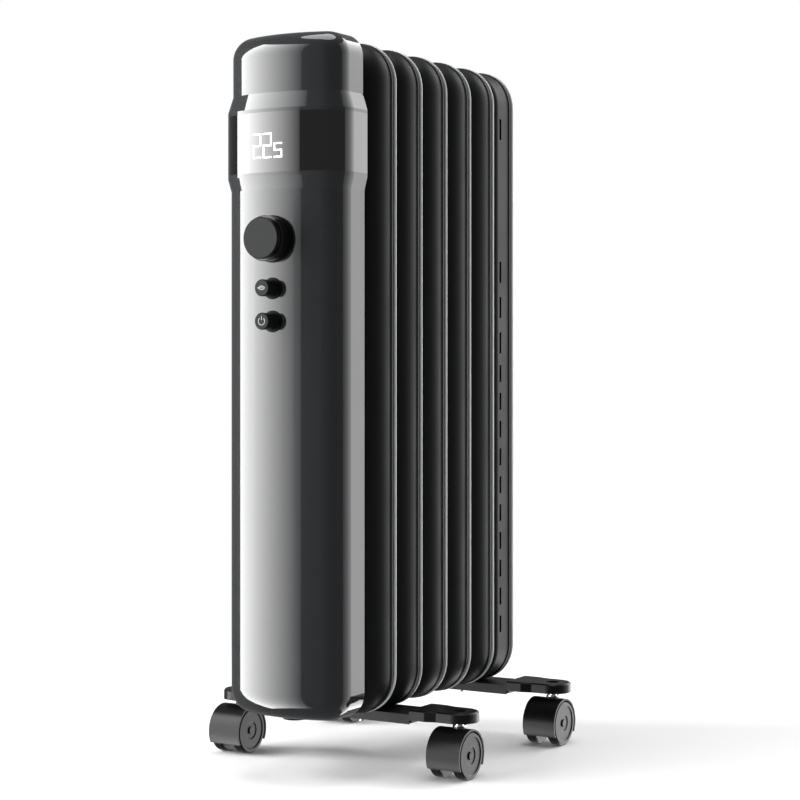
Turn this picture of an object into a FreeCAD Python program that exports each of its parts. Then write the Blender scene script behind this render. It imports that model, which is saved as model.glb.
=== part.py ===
import FreeCAD, Part
import math
import os
import Sketcher

# Oil-filled radiator on four twin-wheel casters, with a control tower at its front end.
# X runs across the heater, Y from the tower (-Y) to the last element (+Y), Z is up.
# The origin is on the floor, under the middle of the bounding box. Lengths are millimetres.

FreeCAD.newDocument("oil_filled_radiator")
doc = FreeCAD.ActiveDocument

# ---------------------------------------------------------------- driving dimensions

DIMENSIONS = [
    ("total_height", 640.0, "floor to the top of the tower"),
    ("fin_top_drop", 3.0, "how far the elements stop below the tower's top"),
    ("fin_over_tip", 5.0, "the elements' underside above a foot tip's underside"),
    ("fin_width", 136.0, "width of one element over its hem"),
    ("fin_corner", 36.0, "corner radius of an element"),
    ("fin_pitch", 44.5, "from one element to the next"),
    ("last_pitch_drop", 5.5, "how much closer the last element sits"),
    ("fin_flange", 30.0, "depth of an element's folded side"),
    ("fin_curl", 22.0, "radius of the curl along the front of the side"),
    ("fin_reach", 13.0, "how far the curl comes in from the side"),
    ("fin_sheet", 0.8, "steel sheet of the elements"),
    ("hem_depth", 3.2, "width of the seam hem round each element"),
    ("hem_step", 0.9, "height of the hem above the folded side"),
    ("channel_depth", 6.0, "how far a pressed oil channel stands from the web"),
    ("channel_width", 20.0, "width of a vertical oil channel"),
    ("channel_pitch", 30.0, "from one vertical oil channel to the next"),
    ("header_inset", 58.0, "header centre from the element's top and bottom"),
    ("header_radius", 24.0, "half height of the pressed header"),
    ("collar_radius", 19.0, "outer radius of a header collar"),
    ("collar_wall", 2.0, "wall of a header collar"),
    ("plug_radius", 6.8, "radius of the filler plug's hole"),
    ("slot_height", 16.0, "height of a slot in the last element's side"),
    ("slot_width", 3.6, "width of a slot in the last element's side"),
    ("slot_pitch", 26.4, "from one slot to the next"),
    ("slot_setback", 19.0, "slot centre ahead of the last element's web"),
    ("slot_start", 57.0, "lowest slot above the element's underside"),
    ("tower_gap", 3.0, "air gap between the tower and the first element"),
    ("tower_width", 124.0, "width of the display band"),
    ("tower_depth", 55.0, "depth of the display band"),
    ("tower_crown", 123.0, "radius of the band's bowed front"),
    ("tower_corner", 27.0, "radius of the band's front corners"),
    ("tower_lift", 2.0, "the tower's underside above the elements' underside"),
    ("tower_wall", 2.2, "moulded wall of the tower's shells"),
    ("casing_step", 2.9, "how far the casing stands inside the band"),
    ("cap_step", 4.4, "how far the cap stands inside the band"),
    ("casing_round", 22.0, "rounding of the casing's lower edge"),
    ("cap_round", 20.0, "rounding of the cap's upper edge"),
    ("cap_height", 69.0, "height of the cap"),
    ("band_height", 51.0, "height of the display band"),
    ("lip_height", 14.0, "height of the flared lip beside the band"),
    ("lip_land", 3.0, "straight part of the lip"),
    ("shield_sheet", 1.2, "steel sheet of the heat shield"),
    ("shield_gap", 0.4, "clearance round the heat shield"),
    ("knob_height", 463.5, "floor to the knob's axis"),
    ("knob_radius", 17.7, "radius of the knob"),
    ("knob_out", 18.5, "how far the knob stands out of the casing"),
    ("knob_travel", 0.8, "how far the knob can be pressed"),
    ("skirt_radius", 19.2, "radius of the knob's skirt"),
    ("skirt_out", 13.4, "how far the knob's skirt reaches out"),
    ("bezel_radius", 20.0, "outer radius of the knob's bezel"),
    ("bezel_out", 2.0, "how far the knob's bezel stands out"),
    ("seat_depth", 1.7, "depth of the bezels' seats below the casing's front"),
    ("seat_gap", 0.1, "clearance of a bezel in its seat"),
    ("panel_depth", 17.0, "casing's front to the circuit board"),
    ("shaft_radius", 3.0, "radius of the encoder shaft"),
    ("button_radius", 7.2, "radius of a push button"),
    ("button_gap", 0.25, "radial clearance of a button"),
    ("button_out", 16.5, "how far a button stands out of the casing"),
    ("button_travel", 1.5, "how far a button can be pressed"),
    ("button_drop", 41.8, "from the knob's axis down to the upper button"),
    ("button_pitch", 28.0, "from the upper button to the lower one"),
    ("button_bezel", 9.2, "outer radius of a button's bezel"),
    ("button_bezel_out", 1.2, "how far a button's bezel stands out"),
    ("digit_height", 21.0, "height of the two large digits"),
    ("small_digit_height", 12.6, "height of the small digit"),
    ("digit_width", 9.0, "width of a large digit"),
    ("digit_pitch", 11.2, "from one large digit to the next"),
    ("small_digit_width", 8.0, "width of the small digit"),
    ("digit_stroke", 1.15, "stroke of a digit's segment"),
    ("digit_rise", 12.0, "digits' foot above the band's lower edge"),
    ("digit_relief", 0.25, "how far the digits stand out of the band"),
    ("rear_foot_lead", 4.0, "rear foot's centre ahead of the last web"),
    ("fin_setback", 33.0, "front foot's centre behind the first web"),
    ("foot_width", 40.0, "width of a foot bar"),
    ("bar_half", 76.0, "half the length of a foot bar"),
    ("bar_height", 8.5, "height of a foot bar"),
    ("bar_sheet", 1.5, "steel sheet of a foot bar"),
    ("tip_height", 9.0, "height of a foot tip"),
    ("tip_clearance", 4.8, "from the top of a caster hood to the foot tip"),
    ("tip_end_radius", 17.0, "rounded end of a foot tip"),
    ("tongue_length", 24.0, "length of a tip's tongue inside the bar"),
    ("caster_track", 230.0, "from the left caster's stem to the right one's"),
    ("stem_offset", 7.5, "stem behind the wheels' axle"),
    ("stem_radius", 4.0, "radius of a caster stem"),
    ("pivot_radius", 3.4, "radius of the stem's upper journal"),
    ("wheel_radius", 20.5, "radius of a caster wheel"),
    ("wheel_width", 10.0, "width of a caster wheel"),
    ("wheel_side_gap", 0.3, "side clearance of a wheel"),
    ("fork_width", 12.0, "width of the caster's middle web"),
    ("hood_wall", 1.5, "wall of a caster hood"),
    ("hood_gap", 0.7, "clearance between the tread and the hood"),
    ("hood_skirt", 10.0, "floor to the lower edge of a caster hood"),
    ("axle_radius", 2.0, "radius of a caster axle"),
    ("running_fit", 0.05, "radial clearance of a shaft in its bore"),
    ("ubolt_wire", 2.5, "radius of a U-bolt's rod"),
    ("ubolt_lead", 10.0, "U-bolt ahead of the foot bar's centre"),
    ("gland_bore", 4.0, "bore radius of the mains-lead gland"),
    ("gland_radius", 8.0, "outer radius of the gland's body"),
    ("board_sheet", 1.6, "thickness of a circuit board"),
]

sheet = doc.addObject("Spreadsheet::Sheet", "dims")
for row, (alias, number, note) in enumerate(DIMENSIONS, 1):
    sheet.set(f"A{row}", note)
    sheet.set(f"B{row}", str(number))
    sheet.setAlias(f"B{row}", alias)
doc.recompute()


class Size:
    """A length with its number and the spreadsheet expression that it comes from."""

    def __init__(self, text, value):
        self.text = text
        self.value = value

    def _join(self, sign, other, value):
        return Size(f"({self.text} {sign} {as_size(other).text})", value)

    def __add__(self, other):
        return self._join("+", other, self.value + as_size(other).value)

    def __sub__(self, other):
        return self._join("-", other, self.value - as_size(other).value)

    def __mul__(self, other):
        return self._join("*", other, self.value * as_size(other).value)

    def __truediv__(self, other):
        return self._join("/", other, self.value / as_size(other).value)

    def __rmul__(self, other):
        return as_size(other) * self

    def __rsub__(self, other):
        return as_size(other) - self

    def __neg__(self):
        return Size(f"(0 - {self.text})", -self.value)


def as_size(number):
    """A plain number as a Size, and a Size as it is."""
    if isinstance(number, Size):
        return number
    return Size(f"{number}", float(number))


def dim(alias):
    """The Size of a driving dimension."""
    return Size(f"dims.{alias}", float(sheet.get(alias)))


# ---------------------------------------------------------------- derived places

FIN_COUNT = 6

half_band = dim("tower_width") / 2
half_fin = dim("fin_width") / 2
axle_z = dim("wheel_radius")
hood_top = axle_z + dim("wheel_radius") + dim("hood_gap") + dim("hood_wall")
tip_bottom = hood_top + dim("tip_clearance")
tip_top = tip_bottom + dim("tip_height")
fin_bottom = tip_bottom + dim("fin_over_tip")
fin_top = dim("total_height") - dim("fin_top_drop")
tower_bottom = fin_bottom + dim("tower_lift")
bar_top = fin_bottom
caster_x = dim("caster_track") / 2

foot_spacing = (dim("fin_pitch") * (FIN_COUNT - 1) - dim("last_pitch_drop")
                - dim("fin_setback") - dim("rear_foot_lead"))
rear_most = foot_spacing + dim("foot_width") / 2
web_to_tower = dim("fin_flange") + dim("tower_gap")
front_most = (-dim("fin_setback") - web_to_tower - dim("tower_depth")
              + dim("casing_step") - dim("knob_out"))
front_foot_y = -(front_most + rear_most) / 2
rear_foot_y = front_foot_y + foot_spacing
first_web_y = front_foot_y - dim("fin_setback")
tower_rear_y = first_web_y - web_to_tower
band_front_y = tower_rear_y - dim("tower_depth")
face_y = band_front_y + dim("casing_step")

band_top = dim("total_height") - dim("cap_height")
band_bottom = band_top - dim("band_height")
lip_slope = dim("lip_height") - dim("lip_land")
lower_header_z = fin_bottom + dim("header_inset")
upper_header_z = fin_top - dim("header_inset")
ubolt_spread = dim("collar_radius") + dim("ubolt_wire") + 0.3

knob_z = dim("knob_height")
upper_button_z = knob_z - dim("button_drop")
lower_button_z = upper_button_z - dim("button_pitch")
button_levels = (upper_button_z, lower_button_z)
half_digits = dim("digit_pitch") + dim("small_digit_width")
shield_front_y = tower_rear_y - dim("shield_sheet")
screw_x = half_band - dim("casing_step") - dim("tower_wall") - 9
bolt_x = screw_x
screw_levels = (tower_bottom + 60, knob_z - 110, band_bottom - 22)
bolt_levels = (tower_bottom + 100, band_bottom - 60)
gland_y = tower_rear_y - 18
board_y = face_y + dim("panel_depth")
board_half = 30
board_posts = [(x, z) for x in (-26, 26) for z in (knob_z + 22, lower_button_z - 16)]

head_radius = dim("pivot_radius") + 1.6
head_depth = as_size(3.2)


def web_y(index):
    """Place of the rear face of an element's web along Y."""
    place = first_web_y + dim("fin_pitch") * index
    if index == FIN_COUNT - 1:
        place = place - dim("last_pitch_drop")
    return place


# ---------------------------------------------------------------- general helpers

nodes = {}
IDENTITY = FreeCAD.Rotation()
Z_TO_FRONT = FreeCAD.Rotation(FreeCAD.Vector(1, 0, 0), 90)
Z_TO_REAR = FreeCAD.Rotation(FreeCAD.Vector(1, 0, 0), -90)
Z_TO_RIGHT = FreeCAD.Rotation(FreeCAD.Vector(0, 1, 0), 90)
Z_TO_LEFT = FreeCAD.Rotation(FreeCAD.Vector(0, 1, 0), -90)


def bind(obj, prop, size):
    """Bind a property to a size's expression."""
    obj.setExpression(prop, as_size(size).text)


def place(obj, x=0, y=0, z=0, turn=IDENTITY):
    """Put an object at a place that follows the spreadsheet."""
    spots = [as_size(spot) for spot in (x, y, z)]
    obj.Placement = FreeCAD.Placement(FreeCAD.Vector(*[s.value for s in spots]), turn)
    for axis, spot in zip("xyz", spots):
        bind(obj, f"Placement.Base.{axis}", spot)
    return obj


def keep(label, obj):
    """Give a finished sub-part its name and list it for export."""
    obj.Label = label
    nodes[label] = obj
    return obj


def box(name, x, y, z):
    """A box between two limits on each axis."""
    obj = doc.addObject("Part::Box", name)
    for prop, (low, high) in zip(("Length", "Width", "Height"), (x, y, z)):
        bind(obj, prop, as_size(high) - low)
    return place(obj, x[0], y[0], z[0])


def rod(name, radius, length, x=0, y=0, z=0, turn=IDENTITY):
    """A cylinder that starts at a place and runs along its turned Z axis."""
    obj = doc.addObject("Part::Cylinder", name)
    bind(obj, "Radius", radius)
    bind(obj, "Height", length)
    return place(obj, x, y, z, turn)


def ring(name, radius, wall, length, x=0, y=0, z=0, turn=IDENTITY):
    """A tube with a given outer radius and wall."""
    outer = rod(f"{name}_outer", radius, length, x, y, z, turn)
    inner = rod(f"{name}_inner", as_size(radius) - wall, length, x, y, z, turn)
    return cut(name, outer, inner)


def cut(name, base, *tools):
    """The base without the tools."""
    obj = doc.addObject("Part::Cut", name)
    obj.Base = base
    obj.Tool = tools[0] if len(tools) == 1 else fuse(f"{name}_tools", *tools)
    return obj


def fuse(name, *shapes):
    """Several shapes as one solid."""
    obj = doc.addObject("Part::MultiFuse", name)
    obj.Shapes = list(shapes)
    obj.Refine = True
    return obj


def common(name, first, second):
    """What two shapes share."""
    obj = doc.addObject("Part::Common", name)
    obj.Base = first
    obj.Tool = second
    return obj


def group(name, shapes):
    """Separate solids kept together as one sub-part."""
    obj = doc.addObject("Part::Compound", name)
    obj.Links = list(shapes)
    return obj


# ---------------------------------------------------------------- sketch helpers

ROOT_POINT = (-1, 1)
VERTICAL_AXIS = -2


def sketch_on(body, name, role, lift=0):
    """An empty sketch on one of the body's own origin planes, lifted along its normal."""
    plane = [item for item in body.Origin.OriginFeatures if item.Role == role][0]
    sketch = body.newObject("Sketcher::SketchObject", name)
    sketch.AttachmentSupport = [(plane, "")]
    sketch.MapMode = "FlatFace"
    lift = as_size(lift)
    sketch.AttachmentOffset = FreeCAD.Placement(FreeCAD.Vector(0, 0, lift.value), IDENTITY)
    bind(sketch, "AttachmentOffset.Base.z", lift)
    return sketch


def fix(sketch, kind, spot, size):
    """A horizontal or vertical distance from the sketch's origin, bound to a size."""
    size = as_size(size)
    if abs(size.value) < 1e-9 and size.text in ("0", "0.0"):
        axis = VERTICAL_AXIS if kind == "DistanceX" else -1
        sketch.addConstraint(Sketcher.Constraint("PointOnObject", *spot, axis))
        return
    index = sketch.addConstraint(Sketcher.Constraint(kind, *ROOT_POINT, *spot, size.value))
    bind(sketch, f"Constraints[{index}]", size)


def set_radius(sketch, edge, size):
    """The radius of a round edge, bound to a size."""
    index = sketch.addConstraint(Sketcher.Constraint("Radius", edge, size.value))
    bind(sketch, f"Constraints[{index}]", size)


def polygon(sketch, points):
    """A closed outline of straight lines whose corners are bound to sizes."""
    spots = [FreeCAD.Vector(as_size(x).value, as_size(y).value, 0) for x, y in points]
    first = sketch.GeometryCount
    count = len(points)
    for i in range(count):
        sketch.addGeometry(Part.LineSegment(spots[i], spots[(i + 1) % count]), False)
    for i in range(count):
        join = Sketcher.Constraint("Coincident", first + i, 2, first + (i + 1) % count, 1)
        sketch.addConstraint(join)
    for i, (x, y) in enumerate(points):
        fix(sketch, "DistanceX", (first + i, 1), x)
        fix(sketch, "DistanceY", (first + i, 1), y)


def circle(sketch, x, y, radius):
    """A full circle whose centre and radius are bound to sizes."""
    x, y, radius = as_size(x), as_size(y), as_size(radius)
    centre = FreeCAD.Vector(x.value, y.value, 0)
    edge = sketch.addGeometry(Part.Circle(centre, FreeCAD.Vector(0, 0, 1), radius.value), False)
    set_radius(sketch, edge, radius)
    fix(sketch, "DistanceX", (edge, 3), x)
    fix(sketch, "DistanceY", (edge, 3), y)


def arc(sketch, x, y, radius, start, end):
    """An arc from a start angle to an end angle, in radians, not yet constrained."""
    round_line = Part.Circle(FreeCAD.Vector(x, y, 0), FreeCAD.Vector(0, 0, 1), radius)
    return sketch.addGeometry(Part.ArcOfCircle(round_line, start, end), False)


def line(sketch, x0, y0, x1, y1):
    """A straight line, not yet constrained."""
    ends = [FreeCAD.Vector(x0, y0, 0), FreeCAD.Vector(x1, y1, 0)]
    return sketch.addGeometry(Part.LineSegment(*ends), False)


def tangent(sketch, first, second):
    """The end of one edge runs smoothly into the start of the next."""
    sketch.addConstraint(Sketcher.Constraint("Tangent", first, 2, second, 1))


def rounded_rectangle(sketch, half, low, high, radius):
    """A rectangle with round corners, symmetrical about the sketch's vertical axis."""
    w, z0, z1, r = half.value, low.value, high.value, radius.value
    quarter = math.pi / 2
    edges = [line(sketch, -w + r, z0, w - r, z0),
             arc(sketch, w - r, z0 + r, r, -quarter, 0),
             line(sketch, w, z0 + r, w, z1 - r),
             arc(sketch, w - r, z1 - r, r, 0, quarter),
             line(sketch, w - r, z1, -w + r, z1),
             arc(sketch, -w + r, z1 - r, r, quarter, math.pi),
             line(sketch, -w, z1 - r, -w, z0 + r),
             arc(sketch, -w + r, z0 + r, r, math.pi, 3 * quarter)]
    for i, edge in enumerate(edges):
        tangent(sketch, edge, edges[(i + 1) % 8])
    for flat in (edges[0], edges[4]):
        sketch.addConstraint(Sketcher.Constraint("Horizontal", flat))
    for upright in (edges[2], edges[6]):
        sketch.addConstraint(Sketcher.Constraint("Vertical", upright))
    for corner in (edges[3], edges[5], edges[7]):
        sketch.addConstraint(Sketcher.Constraint("Equal", edges[1], corner))
    set_radius(sketch, edges[1], radius)
    fix(sketch, "DistanceX", (edges[2], 1), half)
    fix(sketch, "DistanceX", (edges[6], 1), -half)
    fix(sketch, "DistanceY", (edges[0], 1), low)
    fix(sketch, "DistanceY", (edges[4], 1), high)


def bowed_outline(sketch, half, front, rear, crown, corner):
    """A flat back, two straight sides, two round corners and a bowed front."""
    w, y_rear, big, small = half.value, rear.value, crown.value, corner.value
    centre_y = front.value + big
    corner_y = centre_y - math.sqrt((big - small) ** 2 - (w - small) ** 2)
    meet = math.atan2(corner_y - centre_y, w - small)
    edges = [line(sketch, -w, y_rear, w, y_rear),
             line(sketch, w, y_rear, w, corner_y),
             arc(sketch, w - small, corner_y, small, meet, 0),
             arc(sketch, 0, centre_y, big, -math.pi - meet, meet),
             arc(sketch, small - w, corner_y, small, -math.pi, -math.pi - meet),
             line(sketch, -w, corner_y, -w, y_rear)]
    back, right, right_corner, bow, left_corner, left = edges
    joins = [("Coincident", back, 2, right, 1), ("Tangent", right, 2, right_corner, 2),
             ("Tangent", right_corner, 1, bow, 2), ("Tangent", bow, 1, left_corner, 2),
             ("Tangent", left_corner, 1, left, 1), ("Coincident", left, 2, back, 1)]
    for kind, *ends in joins:
        sketch.addConstraint(Sketcher.Constraint(kind, *ends))
    sketch.addConstraint(Sketcher.Constraint("Horizontal", back))
    sketch.addConstraint(Sketcher.Constraint("Vertical", right))
    sketch.addConstraint(Sketcher.Constraint("Vertical", left))
    sketch.addConstraint(Sketcher.Constraint("Equal", right_corner, left_corner))
    sketch.addConstraint(Sketcher.Constraint("PointOnObject", bow, 3, VERTICAL_AXIS))
    set_radius(sketch, right_corner, corner)
    set_radius(sketch, bow, crown)
    fix(sketch, "DistanceX", (right, 1), half)
    fix(sketch, "DistanceX", (left, 2), -half)
    fix(sketch, "DistanceY", (right, 1), rear)
    fix(sketch, "DistanceY", (bow, 3), front + crown)


# ---------------------------------------------------------------- feature helpers

def new_body(name):
    """An empty body."""
    return doc.addObject("PartDesign::Body", name)


def pad(body, name, sketch, length, reverse=False, both_ways=False):
    """Add material along a sketch's normal."""
    obj = body.newObject("PartDesign::Pad", name)
    obj.Profile = sketch
    bind(obj, "Length", length)
    obj.Reversed = reverse
    obj.Midplane = both_ways
    doc.recompute()
    return obj


def pocket(body, name, sketch, length, reverse=False, both_ways=False):
    """Take material away, and make sure that some was there."""
    before = body.Shape.Volume
    obj = body.newObject("PartDesign::Pocket", name)
    obj.Profile = sketch
    bind(obj, "Length", length)
    obj.Reversed = reverse
    obj.Midplane = both_ways
    doc.recompute()
    if body.Shape.Volume >= before - 1e-6:
        raise RuntimeError(f"{body.Name}: {name} cuts nothing")
    return obj


def fillet(body, name, base, wanted, radius):
    """Round the edges of a feature for which a test holds."""
    edges = [f"Edge{i}" for i, edge in enumerate(base.Shape.Edges, 1) if wanted(edge)]
    if not edges:
        raise RuntimeError(f"{body.Name}: {name} finds no edge")
    obj = body.newObject("PartDesign::Fillet", name)
    obj.Base = (base, edges)
    bind(obj, "Radius", radius)
    doc.recompute()
    return obj


def chamfer(body, name, base, wanted, width):
    """Bevel the edges of a feature for which a test holds."""
    edges = [f"Edge{i}" for i, edge in enumerate(base.Shape.Edges, 1) if wanted(edge)]
    if not edges:
        raise RuntimeError(f"{body.Name}: {name} finds no edge")
    obj = body.newObject("PartDesign::Chamfer", name)
    obj.Base = (base, edges)
    bind(obj, "Size", width)
    doc.recompute()
    return obj


def lies_flat(edge, axis, height):
    """An edge that lies at one height along an axis."""
    bounds = edge.BoundBox
    low = getattr(bounds, f"{axis}Min")
    high = getattr(bounds, f"{axis}Max")
    return abs(low - height) < 1e-3 and abs(high - height) < 1e-3


def turned(name, points, x=0, y=0, z=0, turn=IDENTITY):
    """A lathe-turned piece: its half profile, as radius and height, goes round local Z."""
    body = new_body(name)
    sketch = sketch_on(body, f"{name}_profile", "XZ_Plane")
    polygon(sketch, points)
    obj = body.newObject("PartDesign::Revolution", f"{name}_turn")
    obj.Profile = sketch
    obj.ReferenceAxis = (sketch, ["V_Axis"])
    obj.Angle = 360
    return place(body, x, y, z, turn)


# ---------------------------------------------------------------- radiator elements

def make_fin(index):
    """One pressed-steel element: web, folded side, seam hem and hollow oil channels."""
    name = f"fin_{index + 1}"
    last = index == FIN_COUNT - 1
    body = new_body(name)
    low = fin_bottom
    step = dim("hem_step")
    gauge = dim("fin_sheet")
    depth = dim("fin_flange")

    corner = dim("fin_corner")
    reach = dim("fin_reach") if not last else dim("fin_reach") / 2
    curl = dim("fin_curl") if not last else reach

    side = sketch_on(body, f"{name}_side", "XZ_Plane")
    rounded_rectangle(side, half_fin - step, low + step, fin_top - step, corner - step)
    pad(body, f"{name}_block", side, depth)
    front = -depth.value
    inset = step + gauge
    inside = sketch_on(body, f"{name}_inside", "XZ_Plane")
    rounded_rectangle(inside, half_fin - inset, low + inset, fin_top - inset, corner - inset)
    hollow = pocket(body, f"{name}_hollow", inside, depth - gauge, reverse=True)
    floor = front + gauge.value
    inner = fillet(body, f"{name}_inner_curl", hollow, lambda e: lies_flat(e, "Y", floor),
                   curl - gauge)
    fillet(body, f"{name}_curl", inner, lambda e: lies_flat(e, "Y", front), curl)
    opening = sketch_on(body, f"{name}_opening", "XZ_Plane", depth + 1)
    rounded_rectangle(opening, half_fin - reach, low + reach, fin_top - reach, corner - reach)
    pocket(body, f"{name}_front_opening", opening, depth - gauge * 2)
    web = sketch_on(body, f"{name}_web", "XZ_Plane")
    rounded_rectangle(web, half_fin - step, low + step, fin_top - step, corner - step)
    pad(body, f"{name}_web_sheet", web, gauge)

    hem = sketch_on(body, f"{name}_hem_outline", "XZ_Plane")
    rounded_rectangle(hem, half_fin, low, fin_top, corner)
    rounded_rectangle(hem, half_fin - inset, low + inset, fin_top - inset, corner - inset)
    rim = pad(body, f"{name}_hem", hem, dim("hem_depth"))
    outer = half_fin.value - step.value / 2
    ends = (low.value + step.value / 2, fin_top.value - step.value / 2)

    def outer_rim(edge):
        """An edge of the hem's outer outline, on either of its faces."""
        bounds = edge.BoundBox
        on_face = lies_flat(edge, "Y", 0) or lies_flat(edge, "Y", -dim("hem_depth").value)
        at_side = bounds.XMax > outer or bounds.XMin < -outer
        at_end = bounds.ZMax > ends[1] or bounds.ZMin < ends[0]
        return on_face and (at_side or at_end)
    chamfer(body, f"{name}_hem_edge", rim, outer_rim, step * 0.8)

    pressed_channels(body, name, 0)
    pressed_channels(body, name, gauge)
    header_holes(body, name, index)
    if last:
        side_slots(body, name)
    if index in (1, FIN_COUNT - 1):
        ubolt_holes(body, name, index)
    keep(name, place(body, 0, web_y(index), 0))


def pressed_channels(body, name, inset):
    """The pressed oil channels, or with an inset the oil space inside them."""
    kind = "channel" if isinstance(inset, int) else "cavity"
    inset = as_size(inset)
    gauge = dim("fin_sheet")
    length = (dim("channel_depth") - inset) * 2
    half_width = dim("channel_pitch") + dim("channel_width") / 2 - inset
    radius = dim("header_radius") - inset
    shapes = []
    for level, header in (("lower", lower_header_z), ("upper", upper_header_z)):
        sketch = sketch_on(body, f"{name}_{level}_{kind}", "XZ_Plane", gauge / 2)
        rounded_rectangle(sketch, half_width, header - radius, header + radius, radius * 0.96)
        shapes.append((f"{name}_{level}_{kind}_press", sketch))
    uprights = sketch_on(body, f"{name}_upright_{kind}s", "XZ_Plane", gauge / 2)
    for column in (-1, 0, 1):
        middle = dim("channel_pitch") * column
        half = dim("channel_width") / 2 - inset
        polygon(uprights, [(middle - half, lower_header_z), (middle + half, lower_header_z),
                           (middle + half, upper_header_z), (middle - half, upper_header_z)])
    shapes.append((f"{name}_upright_{kind}_press", uprights))
    make = pad if kind == "channel" else pocket
    for feature, sketch in shapes:
        made = make(body, feature, sketch, length, both_ways=True)
    if kind == "channel":
        face = (dim("channel_depth") + gauge / 2, dim("channel_depth") - gauge / 2)
        fillet(body, f"{name}_press_round", made,
               lambda e: lies_flat(e, "Y", -face[0].value) or lies_flat(e, "Y", face[1].value),
               dim("channel_depth") * 0.4)


def header_holes(body, name, index):
    """Holes that join an element's oil space to its neighbours' through the collars."""
    bore = dim("collar_radius") - dim("collar_wall")
    gauge = dim("fin_sheet")
    reach = dim("channel_depth") * 3
    holes = sketch_on(body, f"{name}_header_holes", "XZ_Plane", gauge / 2)
    for header in (lower_header_z, upper_header_z):
        circle(holes, 0, header, bore)
    if index == FIN_COUNT - 1:
        pocket(body, f"{name}_header_cut", holes, reach, reverse=True)
    elif index == 0:
        pocket(body, f"{name}_header_cut", holes, reach)
        front = sketch_on(body, f"{name}_service_holes", "XZ_Plane", gauge / 2)
        circle(front, 0, lower_header_z, bore)
        circle(front, 0, upper_header_z, dim("plug_radius"))
        pocket(body, f"{name}_service_cut", front, reach, reverse=True)
    else:
        pocket(body, f"{name}_header_cut", holes, reach * 2, both_ways=True)


def side_slots(body, name):
    """Rows of upright slots through both folded sides of the last element."""
    y_low = -dim("slot_setback") - dim("slot_width") / 2
    y_high = -dim("slot_setback") + dim("slot_width") / 2
    start = fin_bottom + dim("slot_start")
    rows = [("low", start, 10, dim("slot_pitch")),
            ("middle", start + dim("slot_pitch") * 10.1, 3, dim("slot_pitch") * 1.27),
            ("top", fin_top - dim("header_inset"), 1, None)]
    for row, z, count, pitch in rows:
        sketch = sketch_on(body, f"{name}_{row}_slot", "YZ_Plane")
        half = dim("slot_height") / 2 if row == "low" else dim("slot_height") * 0.62
        polygon(sketch, [(y_low, z - half), (y_high, z - half), (y_high, z + half),
                         (y_low, z + half)])
        slot = pocket(body, f"{name}_{row}_slot_cut", sketch, dim("fin_width") * 2, both_ways=True)
        if count > 1:
            pattern = body.newObject("PartDesign::LinearPattern", f"{name}_{row}_slots")
            pattern.Originals = [slot]
            pattern.Direction = (sketch, ["V_Axis"])
            bind(pattern, "Length", pitch * (count - 1))
            pattern.Occurrences = count
            body.Tip = pattern
            doc.recompute()


def ubolt_holes(body, name, index):
    """Clearance holes for the U-bolt's legs in the element's lower side."""
    foot = front_foot_y if index == 1 else rear_foot_y
    y = foot - dim("ubolt_lead") - web_y(index)
    sketch = sketch_on(body, f"{name}_ubolt_holes", "XY_Plane", fin_bottom - 1)
    for side in (-1, 1):
        circle(sketch, ubolt_spread * side, y, dim("ubolt_wire") + 0.8)
    pocket(body, f"{name}_ubolt_cut", sketch, dim("fin_reach") + 3, reverse=True)


# ---------------------------------------------------------------- oil circuit and heater

def make_collars():
    """Tubes that join the elements' headers, one upper and one lower in every gap."""
    rings = []
    stand = dim("channel_depth") - dim("fin_sheet") / 2
    for index in range(FIN_COUNT - 1):
        start = web_y(index) + stand
        length = web_y(index + 1) - stand - dim("fin_sheet") - start
        for level, z in (("lower", lower_header_z), ("upper", upper_header_z)):
            rings.append(ring(f"collar_{level}_{index + 1}", dim("collar_radius"),
                              dim("collar_wall"), length, 0, start, z, Z_TO_REAR))
    keep("header_collars", group("header_collars", rings))


def make_heater():
    """Filler plug, heater flange with its gasket, and the two heating rods in the oil."""
    front_face = first_web_y - dim("fin_sheet") / 2 - dim("channel_depth")
    head, shank = 3, 6
    neck = dim("plug_radius") - 0.1
    plug = turned("filler_plug", [(0, 0), (neck + 4.1, 0), (neck + 4.1, head),
                                  (neck, head), (neck, head + shank), (0, head + shank)],
                  0, front_face - head, upper_header_z, Z_TO_REAR)
    keep("filler_plug", plug)

    seal, disc_depth = 1.5, 4
    flange_radius = dim("collar_radius") - dim("collar_wall") + 5
    gasket = ring("heater_gasket", flange_radius, 6.5, seal, 0, front_face - seal,
                  lower_header_z, Z_TO_REAR)
    keep("heater_gasket", gasket)
    disc_y = front_face - seal - disc_depth
    disc = rod("flange_disc", flange_radius, disc_depth, 0, disc_y, lower_header_z, Z_TO_REAR)
    rod_x = 7
    sheath_radius = 4.15
    hole_radius = dim("running_fit") + sheath_radius
    rod_holes = [rod(f"flange_hole_{side}", hole_radius, disc_depth + 6, side * rod_x,
                     disc_y - 2.5, lower_header_z, Z_TO_REAR) for side in (-1, 1)]
    keep("heater_flange", cut("heater_flange", disc, *rod_holes))

    start = disc_y - 8.5
    tail = web_y(FIN_COUNT - 1) - 14
    pin_length = 5
    rods = []
    for side in (-1, 1):
        sheath = rod(f"sheath_{side}", sheath_radius, tail - start, side * rod_x, start,
                     lower_header_z, Z_TO_REAR)
        pin = rod(f"terminal_{side}", 1.5, pin_length, side * rod_x, start - pin_length,
                  lower_header_z, Z_TO_REAR)
        rods.append(fuse(f"heating_rod_{side}", sheath, pin))
    keep("heating_rods", group("heating_rods", rods))


# ---------------------------------------------------------------- control tower

def bowed_section(body, name, z, inset, back=0):
    """The tower's outline at one height, inset from the display band's outline."""
    sketch = sketch_on(body, name, "XY_Plane", z)
    inset = as_size(inset)
    bowed_outline(sketch, half_band - inset, band_front_y + inset, tower_rear_y + back,
                  dim("tower_crown") - inset, dim("tower_corner") - inset)
    return sketch


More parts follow.
